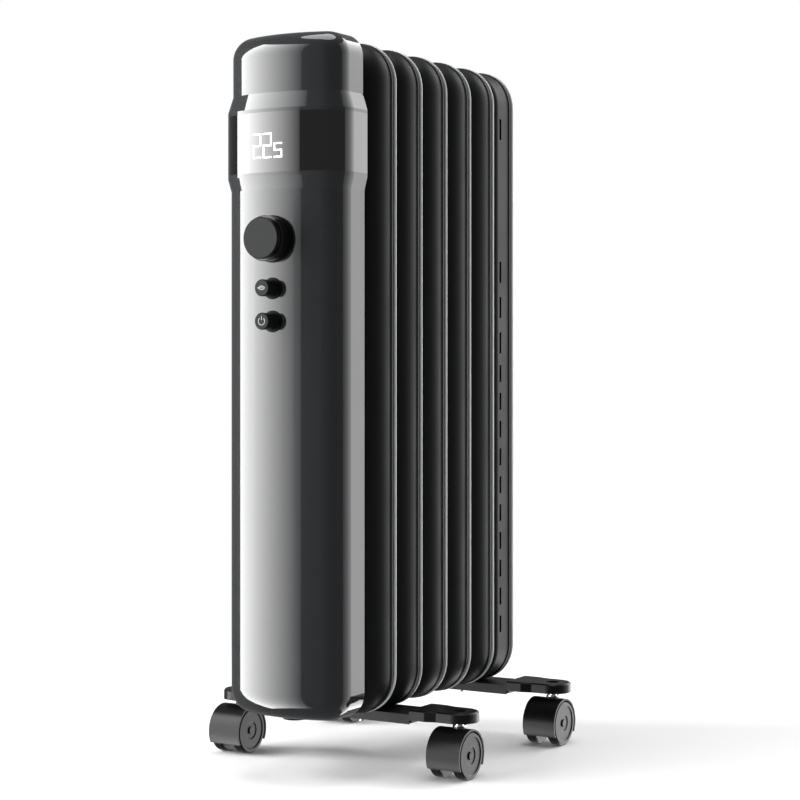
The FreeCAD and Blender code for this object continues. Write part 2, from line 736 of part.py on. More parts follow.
def flare(body, name, first, second):
    """A straight-ruled solid between two outlines."""
    obj = body.newObject("PartDesign::AdditiveLoft", name)
    obj.Profile = first
    obj.Sections = [second]
    obj.Ruled = True
    doc.recompute()
    return obj


def rounded_block(name, z_low, z_high, inset, radius, round_low, back=0):
    """A bowed block with its lower or its upper edge rounded, but not along the back."""
    body = new_body(name)
    outline = bowed_section(body, f"{name}_outline", z_low, inset, back)
    block = pad(body, f"{name}_block", outline, z_high - z_low)
    level = z_low.value if round_low else z_high.value
    rear = tower_rear_y.value + as_size(back).value

    def wanted(edge):
        """An edge of the rounded level that isn't the back one."""
        return lies_flat(edge, "Z", level) and not lies_flat(edge, "Y", rear)
    fillet(body, f"{name}_rounding", block, wanted, radius)
    return body


def make_casing():
    """The lower casing: a bowed shell, open at the back and at the top."""
    step = dim("casing_step")
    wall = dim("tower_wall")
    low = tower_bottom
    lip = band_bottom - dim("lip_height")
    land = band_bottom - dim("lip_land")
    outer = rounded_block("casing_outer", low, lip, step, dim("casing_round"), True)
    narrow = bowed_section(outer, "casing_lip_start", lip, step)
    wide = bowed_section(outer, "casing_lip_end", land, 0)
    flare(outer, "casing_lip", narrow, wide)
    top = bowed_section(outer, "casing_land_outline", land, 0)
    pad(outer, "casing_land", top, dim("lip_land"))
    inner = rounded_block("casing_inner", low + wall, band_bottom + 1, step + wall,
                          dim("casing_round") - wall, True, 1)
    shell = cut("casing_shell", outer, inner)

    posts = []
    for z in screw_levels:
        for side in (-1, 1):
            post = rod("screw_post", 4, dim("tower_depth"), side * screw_x, band_front_y + 4, z,
                       Z_TO_REAR)
            hole = rod("screw_hole", 1.3, 16, side * screw_x, shield_front_y - 14, z, Z_TO_REAR)
            end = box("post_end", (-half_band, half_band), (shield_front_y, tower_rear_y + 9),
                      (z - 6, z + 6))
            posts.append(cut("hollow_post", post, hole, end))
    for x, z in board_posts:
        posts.append(rod("board_post", 2.5, board_y - band_front_y - 4, x, band_front_y + 4, z,
                         Z_TO_REAR))
    solid = rounded_block("casing_limit", low + wall / 2, lip, step + wall / 2,
                          dim("casing_round") - wall / 2, True)
    trimmed = common("posts_in_casing", group("all_posts", posts), solid)
    body = fuse("casing_with_posts", shell, trimmed)
    seat_y = face_y + dim("seat_depth")
    start = face_y - 6
    holes = []
    for z, radius in [(knob_z, dim("bezel_radius"))] + [(z, dim("button_bezel"))
                                                        for z in button_levels]:
        seat_radius = radius + dim("seat_gap")
        holes.append(rod("seat", seat_radius, seat_y - start, 0, start, z, Z_TO_REAR))
        holes.append(rod("through_hole", radius - 0.6 + dim("seat_gap"), 18, 0, start, z,
                         Z_TO_REAR))
    gland_hole = rod("gland_hole", dim("gland_radius"), wall * 3, 0, gland_y, low - wall)
    keep("lower_casing", cut("lower_casing", body, gland_hole, *holes))


def make_band():
    """The glossy display band between the casing and the cap."""
    outer = new_body("band_outer")
    pad(outer, "band_block", bowed_section(outer, "band_outline", band_bottom, 0),
        dim("band_height"))
    inner = new_body("band_inner")
    hollow = bowed_section(inner, "band_hollow", band_bottom - 1, dim("tower_wall"), 1)
    pad(inner, "band_space", hollow, dim("band_height") + 2)
    keep("display_band", cut("display_band", outer, inner))


def make_cap():
    """The top cap: a bowed shell with a flared lip, open at the back and at the bottom."""
    step = dim("cap_step")
    wall = dim("tower_wall")
    top = dim("total_height")
    lip = band_top + dim("lip_height") + dim("lip_land")
    land = band_top + dim("lip_land")
    outer = rounded_block("cap_outer", lip, top, step, dim("cap_round"), False)
    narrow = bowed_section(outer, "cap_lip_end", lip, step)
    wide = bowed_section(outer, "cap_lip_start", land, 0)
    flare(outer, "cap_lip", wide, narrow)
    bottom = bowed_section(outer, "cap_land_outline", band_top, 0)
    pad(outer, "cap_land", bottom, dim("lip_land"))
    inner = rounded_block("cap_inner", band_top - 1, top - wall, step + wall,
                          dim("cap_round") - wall, False, 1)
    keep("top_cap", cut("top_cap", outer, inner))


def make_shield():
    """The steel heat shield that closes the tower's back, with its windows and screw holes."""
    step = dim("cap_step") + dim("tower_wall") + dim("shield_gap")
    half = half_band - step
    body = new_body("heat_shield")
    low = tower_bottom + dim("tower_wall") + dim("shield_gap")
    high = dim("total_height") - dim("tower_wall") - dim("shield_gap")
    outline = sketch_on(body, "shield_outline", "XZ_Plane", -tower_rear_y)
    rounded_rectangle(outline, half, low, high, dim("casing_round"))
    pad(body, "shield_sheet_metal", outline, dim("shield_sheet"))
    holes = sketch_on(body, "shield_holes", "XZ_Plane", -tower_rear_y)
    circle(holes, 0, lower_header_z, dim("collar_radius") + 5)
    circle(holes, 0, upper_header_z, dim("plug_radius") + 6)
    for z in screw_levels:
        for side in (-1, 1):
            circle(holes, side * screw_x, z, 1.8)
    for z in bolt_levels:
        for side in (-1, 1):
            circle(holes, side * bolt_x, z, 2.2)
    pocket(body, "shield_windows", holes, dim("shield_sheet") * 3, both_ways=True)
    keep("heat_shield", body)


def make_tower_fasteners():
    """Casing screws, spacer bushes to the first element and the bolts through them."""
    screws = []
    for z in screw_levels:
        for side in (-1, 1):
            screws.append(turned("casing_screw", [(0, 0), (1.2, 0), (1.2, 13), (2.9, 13),
                                                  (2.9, 14.6), (2.2, 15.2), (0, 15.2)],
                                 side * screw_x, tower_rear_y - 13, z, Z_TO_REAR))
    keep("casing_screws", group("casing_screws", screws))
    web_front = first_web_y - dim("fin_sheet")
    bushes = []
    bolts = []
    for z in bolt_levels:
        for side in (-1, 1):
            spot = (side * bolt_x, tower_rear_y, z)
            bushes.append(ring("spacer_bush", 4.5, 2.3, web_front - tower_rear_y, *spot,
                               Z_TO_REAR))
            length = web_front - shield_front_y
            bolts.append(turned("tower_bolt", [(0, 0), (3.6, 0), (4, 0.5), (4, 3), (2, 3),
                                               (2, length + 3), (0, length + 3)],
                                side * bolt_x, shield_front_y - 3, z, Z_TO_REAR))
    keep("spacer_bushes", group("spacer_bushes", bushes))
    keep("tower_bolts", group("tower_bolts", bolts))


# ---------------------------------------------------------------- controls and electronics

def on_panel(z):
    """The place of a control piece whose local Z starts at the board and points forward."""
    return {"x": 0, "y": board_y, "z": z, "turn": Z_TO_FRONT}


def make_knob():
    """Rotary knob with its encoder, shaft and push plunger; returns the knob's bezel."""
    face = dim("panel_depth")
    fit = dim("running_fit")
    shaft = dim("shaft_radius")
    outer = dim("bezel_radius")
    seat = face - dim("seat_depth")
    front = face + dim("bezel_out")
    bezel = turned("knob_bezel", [(shaft + 1, face - 4), (outer - 0.6, face - 4),
                                  (outer - 0.6, seat), (outer, seat), (outer, front - 0.6),
                                  (outer - 0.6, front), (shaft + 1, front)], **on_panel(knob_z))

    base = front + dim("knob_travel") + 0.5
    skirt = dim("skirt_radius")
    skirt_end = face + dim("skirt_out")
    cap = dim("knob_radius")
    tip = face + dim("knob_out")
    socket = tip - 8
    knob = turned("mode_knob", [(shaft + fit, base), (skirt, base), (skirt, skirt_end - 0.6),
                                (skirt - 0.6, skirt_end), (cap - 0.5, skirt_end),
                                (cap - 0.5, skirt_end + 0.5), (cap, skirt_end + 0.8),
                                (cap, tip - 0.9), (cap - 0.9, tip), (0, tip), (0, socket),
                                (shaft + fit, socket)], **on_panel(knob_z))
    keep("mode_knob", knob)
    keep("encoder_shaft", rod("encoder_shaft", shaft, socket - 0.2, 0, board_y - 0.1, knob_z,
                              Z_TO_FRONT))
    keep("knob_plunger", rod("knob_plunger", shaft - 0.5, 1.4, 0, board_y + 1.4, knob_z,
                             Z_TO_FRONT))

    can = box("encoder_can", (-6.5, 6.5), (board_y - 6.5, board_y), (knob_z - 6.5, knob_z + 6.5))
    bush = rod("encoder_bush", shaft + 0.8, face - 6, 0, board_y, knob_z, Z_TO_FRONT)
    bore = rod("encoder_bore", shaft + fit, face, 0, board_y + 1, knob_z, Z_TO_FRONT)
    keep("rotary_encoder", cut("rotary_encoder", fuse("encoder_body", can, bush), bore))
    return bezel


def make_buttons():
    """The two push buttons and the switches behind them; returns the buttons' bezels."""
    face = dim("panel_depth")
    radius = dim("button_radius")
    bore = radius + dim("button_gap")
    outer = dim("button_bezel")
    seat = face - dim("seat_depth")
    front = face + dim("button_bezel_out")
    inner_end = face - 5
    tip = face + dim("button_out")
    switch_top = as_size(4.3)
    bezels = []
    switches = []
    for label, z in (("eco_button", upper_button_z), ("power_button", lower_button_z)):
        profile = [(bore, inner_end), (outer - 0.6, inner_end), (outer - 0.6, seat),
                   (outer, seat), (outer, front - 0.4), (outer - 0.4, front), (bore, front)]
        bezels.append(turned(f"{label}_bezel", profile, **on_panel(z)))
        stem_end = switch_top + dim("button_travel") + 0.1
        rim = inner_end - 0.2
        profile = [(0, stem_end), (2.5, stem_end), (2.5, rim - 1.5), (bore + 0.8, rim - 1.5),
                   (bore + 0.8, rim), (radius, rim), (radius, tip - 0.7), (radius - 0.7, tip),
                   (0, tip)]
        keep(label, turned(label, profile, **on_panel(z)))
        can = box("switch_can", (-3, 3), (board_y - 3.5, board_y), (z - 3, z + 3))
        knob = rod("switch_plunger", 1.7, switch_top, 0, board_y, z, Z_TO_FRONT)
        switches.append(fuse("switch", can, knob))
    keep("push_switches", group("push_switches", switches))
    return bezels


SEGMENTS = {"top": (0, 1, 1, 1), "middle": (0, 0.5, 1, 0.5), "foot": (0, 0, 1, 0),
            "upper_left": (0, 0.5, 0, 1), "upper_right": (1, 0.5, 1, 1),
            "lower_left": (0, 0, 0, 0.5), "lower_right": (1, 0, 1, 0.5)}
TWO = ("top", "upper_right", "middle", "lower_left", "foot")
FIVE = ("top", "upper_left", "middle", "lower_right", "foot")


def make_digits():
    """Seven-segment digits that follow the bow of the display band."""
    stroke = dim("digit_stroke")
    left = -half_digits
    foot = band_bottom + dim("digit_rise")
    layout = [(TWO, left, dim("digit_width"), dim("digit_height")),
              (TWO, left + dim("digit_pitch"), dim("digit_width"), dim("digit_height")),
              (FIVE, left + dim("digit_pitch") * 2, dim("small_digit_width"),
               dim("small_digit_height"))]
    bars = []
    for segments, x, width, height in layout:
        for segment in segments:
            x0, z0, x1, z1 = SEGMENTS[segment]
            run = width - stroke
            rise = height - stroke
            bars.append(box("segment", (x + run * x0, x + run * x1 + stroke),
                            (band_front_y - 3, band_front_y + 6),
                            (foot + rise * z0, foot + rise * z1 + stroke)))
    bodies = []
    for name, inset in (("digit_skin_outer", -dim("digit_relief")), ("digit_skin_inner", 0)):
        body = new_body(name)
        pad(body, f"{name}_block", bowed_section(body, f"{name}_outline", band_bottom, inset),
            dim("band_height"))
        bodies.append(body)
    skin = cut("digit_skin", *bodies)
    keep("display_digits", common("display_digits", skin, fuse("digit_bars", *bars)))


def make_boards():
    """Circuit boards, display module, safety devices and the mains-lead gland."""
    thick = dim("board_sheet")
    low = lower_button_z - 24
    high = band_top - 6
    board = box("board", (-board_half, board_half), (board_y, board_y + thick), (low, high))
    opening = rod("plunger_hole", dim("shaft_radius") + 0.3, 4, 0, board_y - 1, knob_z, Z_TO_REAR)
    back = board_y + thick
    chips = [box("chip", (-9, 9), (back, back + 2), (knob_z - 34, knob_z - 16)),
             box("driver", (-12, 8), (back, back + 2.4), (band_bottom + 8, band_bottom + 16)),
             box("connector", (12, 26), (back, back + 7), (low + 4, low + 12))]
    keep("control_board", fuse("control_board", cut("drilled_board", board, opening), *chips))
    module_front = band_front_y + dim("tower_wall") + 2.6
    keep("display_module", box("display_module", (-22, 18), (module_front, board_y),
                               (band_bottom + 8, band_top - 14)))

    stand = 8
    board_back = shield_front_y - stand
    pcb = box("power_pcb", (-32, 32), (board_back - thick, board_back), (195, 315))
    parts = [rod("pcb_spacer", 2.5, stand, x, board_back, z, Z_TO_REAR)
             for x in (-27, 27) for z in (200, 310)]
    front = board_back - thick
    parts += [box("relay", (x, x + 19), (front - 15.5, front), (270, 285)) for x in (-25, 3)]
    parts += [box("terminals", (-24, 24), (front - 11, front), (203, 213)),
              rod("capacitor", 6, 14, 12, front, 240, Z_TO_FRONT)]
    keep("power_board", fuse("power_board", pcb, *parts))
    cutout = turned("thermal_cutout", [(0, 0), (8, 0), (8, 6), (6.5, 7), (6.5, 10), (0, 10)],
                    0, shield_front_y, lower_header_z + 50, Z_TO_FRONT)
    keep("thermal_cutout", cutout)
    keep("tip_over_switch", box("tip_over_switch", (-12, 12), (shield_front_y - 14,
                                                               shield_front_y), (350, 378)))

    bore = dim("gland_bore")
    body = dim("gland_radius") - dim("seat_gap")
    wall = dim("tower_wall")
    gland = turned("cord_gland", [(bore, -2.5), (body + 2.2, -2.5), (body + 3, -1.7),
                                  (body + 3, 0), (body, 0), (body, 14), (bore, 14)],
                   0, gland_y, tower_bottom)
    nut = ring("gland_nut", body + 4, 4 - dim("seat_gap"), 5, 0, gland_y,
               tower_bottom + wall)
    keep("cord_gland", group("cord_gland", [gland, nut]))


# ---------------------------------------------------------------- feet

def make_foot(where, foot_y):
    """The two moulded tips of a foot, and its steel bar with holes for the U-bolt."""
    half = dim("bar_half")
    width = dim("foot_width") / 2
    gauge = dim("bar_sheet")
    low = bar_top - dim("bar_height")
    outer = box("bar_outer", (-half, half), (foot_y - width, foot_y + width), (low, bar_top))
    inner = box("bar_inner", (-half - 1, half + 1),
                (foot_y - width + gauge, foot_y + width - gauge), (low - 1, bar_top - gauge))
    legs = [rod("leg_hole", dim("ubolt_wire") + 0.3, 6, ubolt_spread * side,
                foot_y - dim("ubolt_lead"), bar_top - 4) for side in (-1, 1)]
    for side, hand in ((-1, "left"), (1, "right")):
        make_tip(f"{where}_{hand}_foot_tip", side, foot_y)
    return cut(f"{where}_bar", outer, inner, *legs)


def make_tip(label, side, foot_y):
    """A moulded foot tip: waisted plate, round end, tongue in the bar and stem bearing."""
    half = dim("bar_half")
    width = dim("foot_width") / 2
    end = dim("tip_end_radius")
    top = tip_top
    body = new_body(label)
    outline = sketch_on(body, f"{label}_plate", "XY_Plane", tip_bottom)
    neck = half + 15
    waist = neck + 10
    polygon(outline, [(half, -width), (neck, -width), (waist, -end), (caster_x, -end),
                      (caster_x, end), (waist, end), (neck, width), (half, width)])
    pad(body, f"{label}_slab", outline, top - tip_bottom)
    rounded = sketch_on(body, f"{label}_end", "XY_Plane", tip_bottom)
    circle(rounded, caster_x, 0, end)
    slab = pad(body, f"{label}_round_end", rounded, top - tip_bottom)
    flat_end = half.value

    def wanted(edge):
        """An edge of the tip's top that isn't against the bar."""
        return lies_flat(edge, "Z", top.value) and not lies_flat(edge, "X", flat_end)
    chamfer(body, f"{label}_top_edge", slab, wanted, 1.2)
    tongue = sketch_on(body, f"{label}_tongue_outline", "XY_Plane", bar_top - dim("bar_height") + 1)
    inside = width - dim("bar_sheet") - 0.3
    inner_end = half - dim("tongue_length")
    polygon(tongue, [(inner_end, -inside), (half + 2, -inside), (half + 2, inside),
                     (inner_end, inside)])
    pad(body, f"{label}_tongue", tongue, dim("bar_height") - dim("bar_sheet") - 1.1)
    bearing = sketch_on(body, f"{label}_bearing", "XY_Plane", top + 1)
    circle(bearing, caster_x, 0, dim("pivot_radius") + dim("running_fit"))
    pocket(body, f"{label}_bearing_bore", bearing, top - tip_bottom + 2)
    recess = sketch_on(body, f"{label}_recess", "XY_Plane", top + 1)
    circle(recess, caster_x, 0, head_radius + 1)
    pocket(body, f"{label}_recess_cut", recess, head_depth + 1)
    turn = IDENTITY if side > 0 else FreeCAD.Rotation(FreeCAD.Vector(0, 0, 1), 180)
    keep(label, place(body, 0, foot_y, 0, turn))


def make_clamps():
    """U-bolts round the lower collars, and the wing nuts that pull the bars up to them."""
    bolts = []
    nuts = []
    wire = dim("ubolt_wire")
    leg_end = bar_top - dim("bar_height") - 3
    for foot_y in (front_foot_y, rear_foot_y):
        y = foot_y - dim("ubolt_lead")
        bow = doc.addObject("Part::Torus", "ubolt_bow")
        bind(bow, "Radius1", ubolt_spread)
        bind(bow, "Radius2", wire)
        bow.Angle3 = 180
        place(bow, 0, y, lower_header_z, Z_TO_FRONT)
        legs = [rod("ubolt_leg", wire, lower_header_z - leg_end, ubolt_spread * side, y, leg_end)
                for side in (-1, 1)]
        bolts.append(fuse("ubolt", bow, *legs))
        for side in (-1, 1):
            x = ubolt_spread * side
            top = bar_top - dim("bar_sheet")
            hub = rod("nut_hub", wire * 2, 6, x, y, top - 6)
            wings = box("nut_wings", (x - 10, x + 10), (y - 1.2, y + 1.2), (top - 8, top - 3))
            thread = rod("nut_bore", wire + dim("running_fit"), 12, x, y, top - 10)
            nuts.append(cut("wing_nut", fuse("nut_body", hub, wings), thread))
    keep("foot_ubolts", group("foot_ubolts", bolts))
    keep("wing_nuts", group("wing_nuts", nuts))


# ---------------------------------------------------------------- casters

def make_caster(label, x, foot_y):
    """A twin-wheel caster: stem, hood, axle and two wheels."""
    y = foot_y - dim("stem_offset")
    fit = dim("running_fit")
    half_fork = dim("fork_width") / 2
    inner = half_fork + dim("wheel_side_gap")
    half_width = inner + dim("wheel_width")
    bay_radius = dim("wheel_radius") + dim("hood_gap")
    hood_radius = bay_radius + dim("hood_wall")
    stem_low = axle_z + dim("axle_radius") + 2
    shell = rod("hood_shell", hood_radius, half_width * 2, x - half_width, y, axle_z, Z_TO_RIGHT)
    boss = rod("stem_boss", half_fork, hood_top - axle_z, x, foot_y, axle_z)
    bays = [rod("wheel_bay_right", bay_radius, dim("wheel_width") + 2, x + half_fork, y, axle_z,
                Z_TO_RIGHT),
            rod("wheel_bay_left", bay_radius, dim("wheel_width") + 2,
                x - half_fork - dim("wheel_width") - 2, y, axle_z, Z_TO_RIGHT)]
    below = box("below_skirt", (x - half_width - 1, x + half_width + 1),
                (y - hood_radius - 1, y + hood_radius + 1),
                (axle_z - hood_radius - 1, dim("hood_skirt")))
    socket = rod("stem_socket", dim("stem_radius") + fit, hood_top, x, foot_y, stem_low - 0.3)
    axle_bore = rod("axle_bore", dim("axle_radius") + fit, dim("fork_width") + 2,
                    x - half_fork - 1, y, axle_z, Z_TO_RIGHT)
    keep(f"{label}_hood", cut(f"{label}_hood", fuse("hood_body", shell, boss), *bays, below,
                              socket, axle_bore))

    stem = dim("stem_radius")
    journal = dim("pivot_radius")
    shoulder = tip_bottom
    head = tip_top - head_depth
    keep(f"{label}_stem", turned(f"{label}_stem", [
        (0, stem_low), (stem, stem_low), (stem, hood_top), (stem + 2, hood_top),
        (stem + 2, hood_top + 1.4), (stem, hood_top + 1.4), (stem, shoulder), (journal, shoulder),
        (journal, head + 0.1), (head_radius, head + 0.1), (head_radius, head + 1.2),
        (head_radius - 0.5, head + 1.7), (0, head + 1.7)], x, foot_y, 0))

    rivet = dim("axle_radius")
    reach = half_width - 0.3
    keep(f"{label}_axle", turned(f"{label}_axle", [
        (0, -reach), (rivet + 1.5, -reach), (rivet + 1.5, 1 - reach), (rivet, 1 - reach),
        (rivet, reach - 1), (rivet + 1.5, reach - 1), (rivet + 1.5, reach), (0, reach)],
        x, y, axle_z, Z_TO_RIGHT))

    tread = dim("wheel_radius")
    wide = dim("wheel_width")
    bore = rivet + fit
    profile = [(bore, 0), (tread - 1.2, 0), (tread, 1.2), (tread, wide - 1.2),
               (tread - 1.2, wide), (tread - 3.6, wide), (tread - 4.4, wide - 0.8),
               (bore + 6, wide - 0.8), (bore + 5, wide - 1.5), (bore, wide - 1.5)]
    keep(f"{label}_right_wheel", turned(f"{label}_right_wheel", profile, x + inner, y, axle_z,
                                        Z_TO_RIGHT))
    keep(f"{label}_left_wheel", turned(f"{label}_left_wheel", profile, x - inner, y, axle_z,
                                       Z_TO_LEFT))


# ---------------------------------------------------------------- the whole heater

for fin_index in range(FIN_COUNT):
    make_fin(fin_index)
make_collars()
make_heater()
make_casing()
make_band()
make_cap()
make_shield()
make_tower_fasteners()
keep("control_bezels", group("control_bezels", [make_knob()] + make_buttons()))
make_digits()
make_boards()
foot_bars = [make_foot("front", front_foot_y), make_foot("rear", rear_foot_y)]
keep("foot_bars", group("foot_bars", foot_bars))
make_clamps()
for row_name, row_y in (("front", front_foot_y), ("rear", rear_foot_y)):
    for hand, side in (("left", -1), ("right", 1)):
        make_caster(f"{row_name}_{hand}_caster", caster_x * side, row_y)

# ---------------------------------------------------------------- checks and export

doc.recompute()
for item in doc.Objects:
    if "Invalid" in item.State or "Error" in item.State:
        raise RuntimeError(f"{item.Name} failed: {item.State}")
os.makedirs("parts", exist_ok=True)
for label, item in nodes.items():
    shape = item.Shape
    if shape.isNull() or not shape.isValid() or not shape.Solids:
        raise RuntimeError(f"{label} has no sound solid")
for label, item in nodes.items():
    item.Shape.exportStep(f"parts/{label}.step")
print(len(nodes), "sub-parts written")
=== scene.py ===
"""Looks of an oil-filled radiator heater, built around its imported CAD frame. Lengths are metres."""

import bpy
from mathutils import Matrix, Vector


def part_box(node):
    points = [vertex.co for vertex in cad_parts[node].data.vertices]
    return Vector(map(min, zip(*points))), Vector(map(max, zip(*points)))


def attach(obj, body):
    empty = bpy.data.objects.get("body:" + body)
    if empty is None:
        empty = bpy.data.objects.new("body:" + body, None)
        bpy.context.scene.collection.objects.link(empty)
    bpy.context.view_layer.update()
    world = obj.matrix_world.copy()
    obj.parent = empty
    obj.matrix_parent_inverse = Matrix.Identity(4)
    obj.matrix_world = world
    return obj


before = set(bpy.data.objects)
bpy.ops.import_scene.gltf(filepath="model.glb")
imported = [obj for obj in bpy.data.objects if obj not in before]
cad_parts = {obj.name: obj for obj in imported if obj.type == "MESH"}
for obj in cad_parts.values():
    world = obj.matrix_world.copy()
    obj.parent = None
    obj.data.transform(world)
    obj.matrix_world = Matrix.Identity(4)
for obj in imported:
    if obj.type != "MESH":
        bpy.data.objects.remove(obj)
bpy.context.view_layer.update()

import logging
import math
from dataclasses import dataclass
from enum import Enum

import bpy
import numpy as np

MM = 0.001
FULL_TURN = 2 * math.pi
# Where a noise texture's values mostly lie, from darkest to brightest.
NOISE_LOW, NOISE_HIGH = 0.3, 0.7
# Patches of wandering colour and roughness, per metre: about one in 70 mm.
PATCHES = 14.0
# How often a drawn or turned surface's pattern changes along its streaks, as a share of that across them.
STREAK = 0.04
log = logging.getLogger("radiator")


# ---------------------------------------------------------------- small helpers


def linear(code: str) -> tuple[float, float, float, float]:
    """Turns an sRGB hex colour into linear light.

    Args:
        code: the colour as "#rrggbb".

    Returns:
        Red, green, blue and an alpha of one.
    """
    shares = (int(code[start : start + 2], 16) / 255 for start in (1, 3, 5))
    red, green, blue = (s / 12.92 if s <= 0.04045 else ((s + 0.055) / 1.055) ** 2.4 for s in shares)
    return red, green, blue, 1.0


def shade(code: str, factor: float) -> tuple[float, float, float, float]:
    """Returns the linear colour of a hex code, brightened or darkened by a factor."""
    red, green, blue, alpha = linear(code)
    return min(red * factor, 1.0), min(green * factor, 1.0), min(blue * factor, 1.0), alpha


def add_node(
    tree: bpy.types.NodeTree, kind: str, settings: dict | None = None, links: dict | None = None
) -> bpy.types.Node:
    """Adds one shader node.

    Args:
        tree: the material's node tree.
        kind: the node's Blender type.
        settings: values by the node's own attribute, or by its socket's name or number.
        links: output sockets by the name or number of the input that each one feeds.

    Returns:
        The new node.
    """
    node = tree.nodes.new(kind)
    for name, value in (settings or {}).items():
        if isinstance(name, str) and hasattr(node, name):
            setattr(node, name, value)
        else:
            node.inputs[name].default_value = value
    for name, source in (links or {}).items():
        tree.links.new(source, node.inputs[name])
    return node


def surface(name: str, points: np.ndarray, wrap_u: bool = False, wrap_v: bool = False) -> bpy.types.Object:
    """Makes a mesh object from a grid of points.

    The faces join each point (u, v) to (u + 1, v), (u + 1, v + 1) and (u, v + 1), so that a face looks
    along du x dv. A wrapped direction also joins its last row to its first.

    Args:
        name: the piece's name.
        points: an array of shape (nu, nv, 3), in metres.
        wrap_u: whether the grid closes on itself along u.
        wrap_v: whether it closes on itself along v.

    Returns:
        The object, smooth shaded and linked to the scene.
    """
    rows, columns = points.shape[:2]
    index = np.arange(rows * columns).reshape(rows, columns)
    if wrap_u:
        index = np.concatenate([index, index[:1]], axis=0)
    if wrap_v:
        index = np.concatenate([index, index[:, :1]], axis=1)
    corners = [index[:-1, :-1], index[1:, :-1], index[1:, 1:], index[:-1, 1:]]
    faces = np.stack(corners, axis=-1).reshape(-1, 4)
    mesh = bpy.data.meshes.new(name)
    mesh.from_pydata(points.reshape(-1, 3).tolist(), [], faces.tolist())
    mesh.polygons.foreach_set("use_smooth", np.ones(len(faces), dtype=bool))
    mesh.update()
    piece = bpy.data.objects.new(name, mesh)
    bpy.context.scene.collection.objects.link(piece)
    return piece


# ---------------------------------------------------------------- finishes


class Texture(Enum):
    """How a surface was made, which gives its fine pattern."""

    ORANGE_PEEL = "sprayed or powder coated, and cured"
    SPARK_ERODED = "moulded against an eroded tool"
    POLISHED = "moulded against a polished tool"
    TURNED = "turned, with rings round its axis"
    DRAWN = "rolled or drawn, with streaks along Z"
    WOVEN = "laminated over glass cloth"


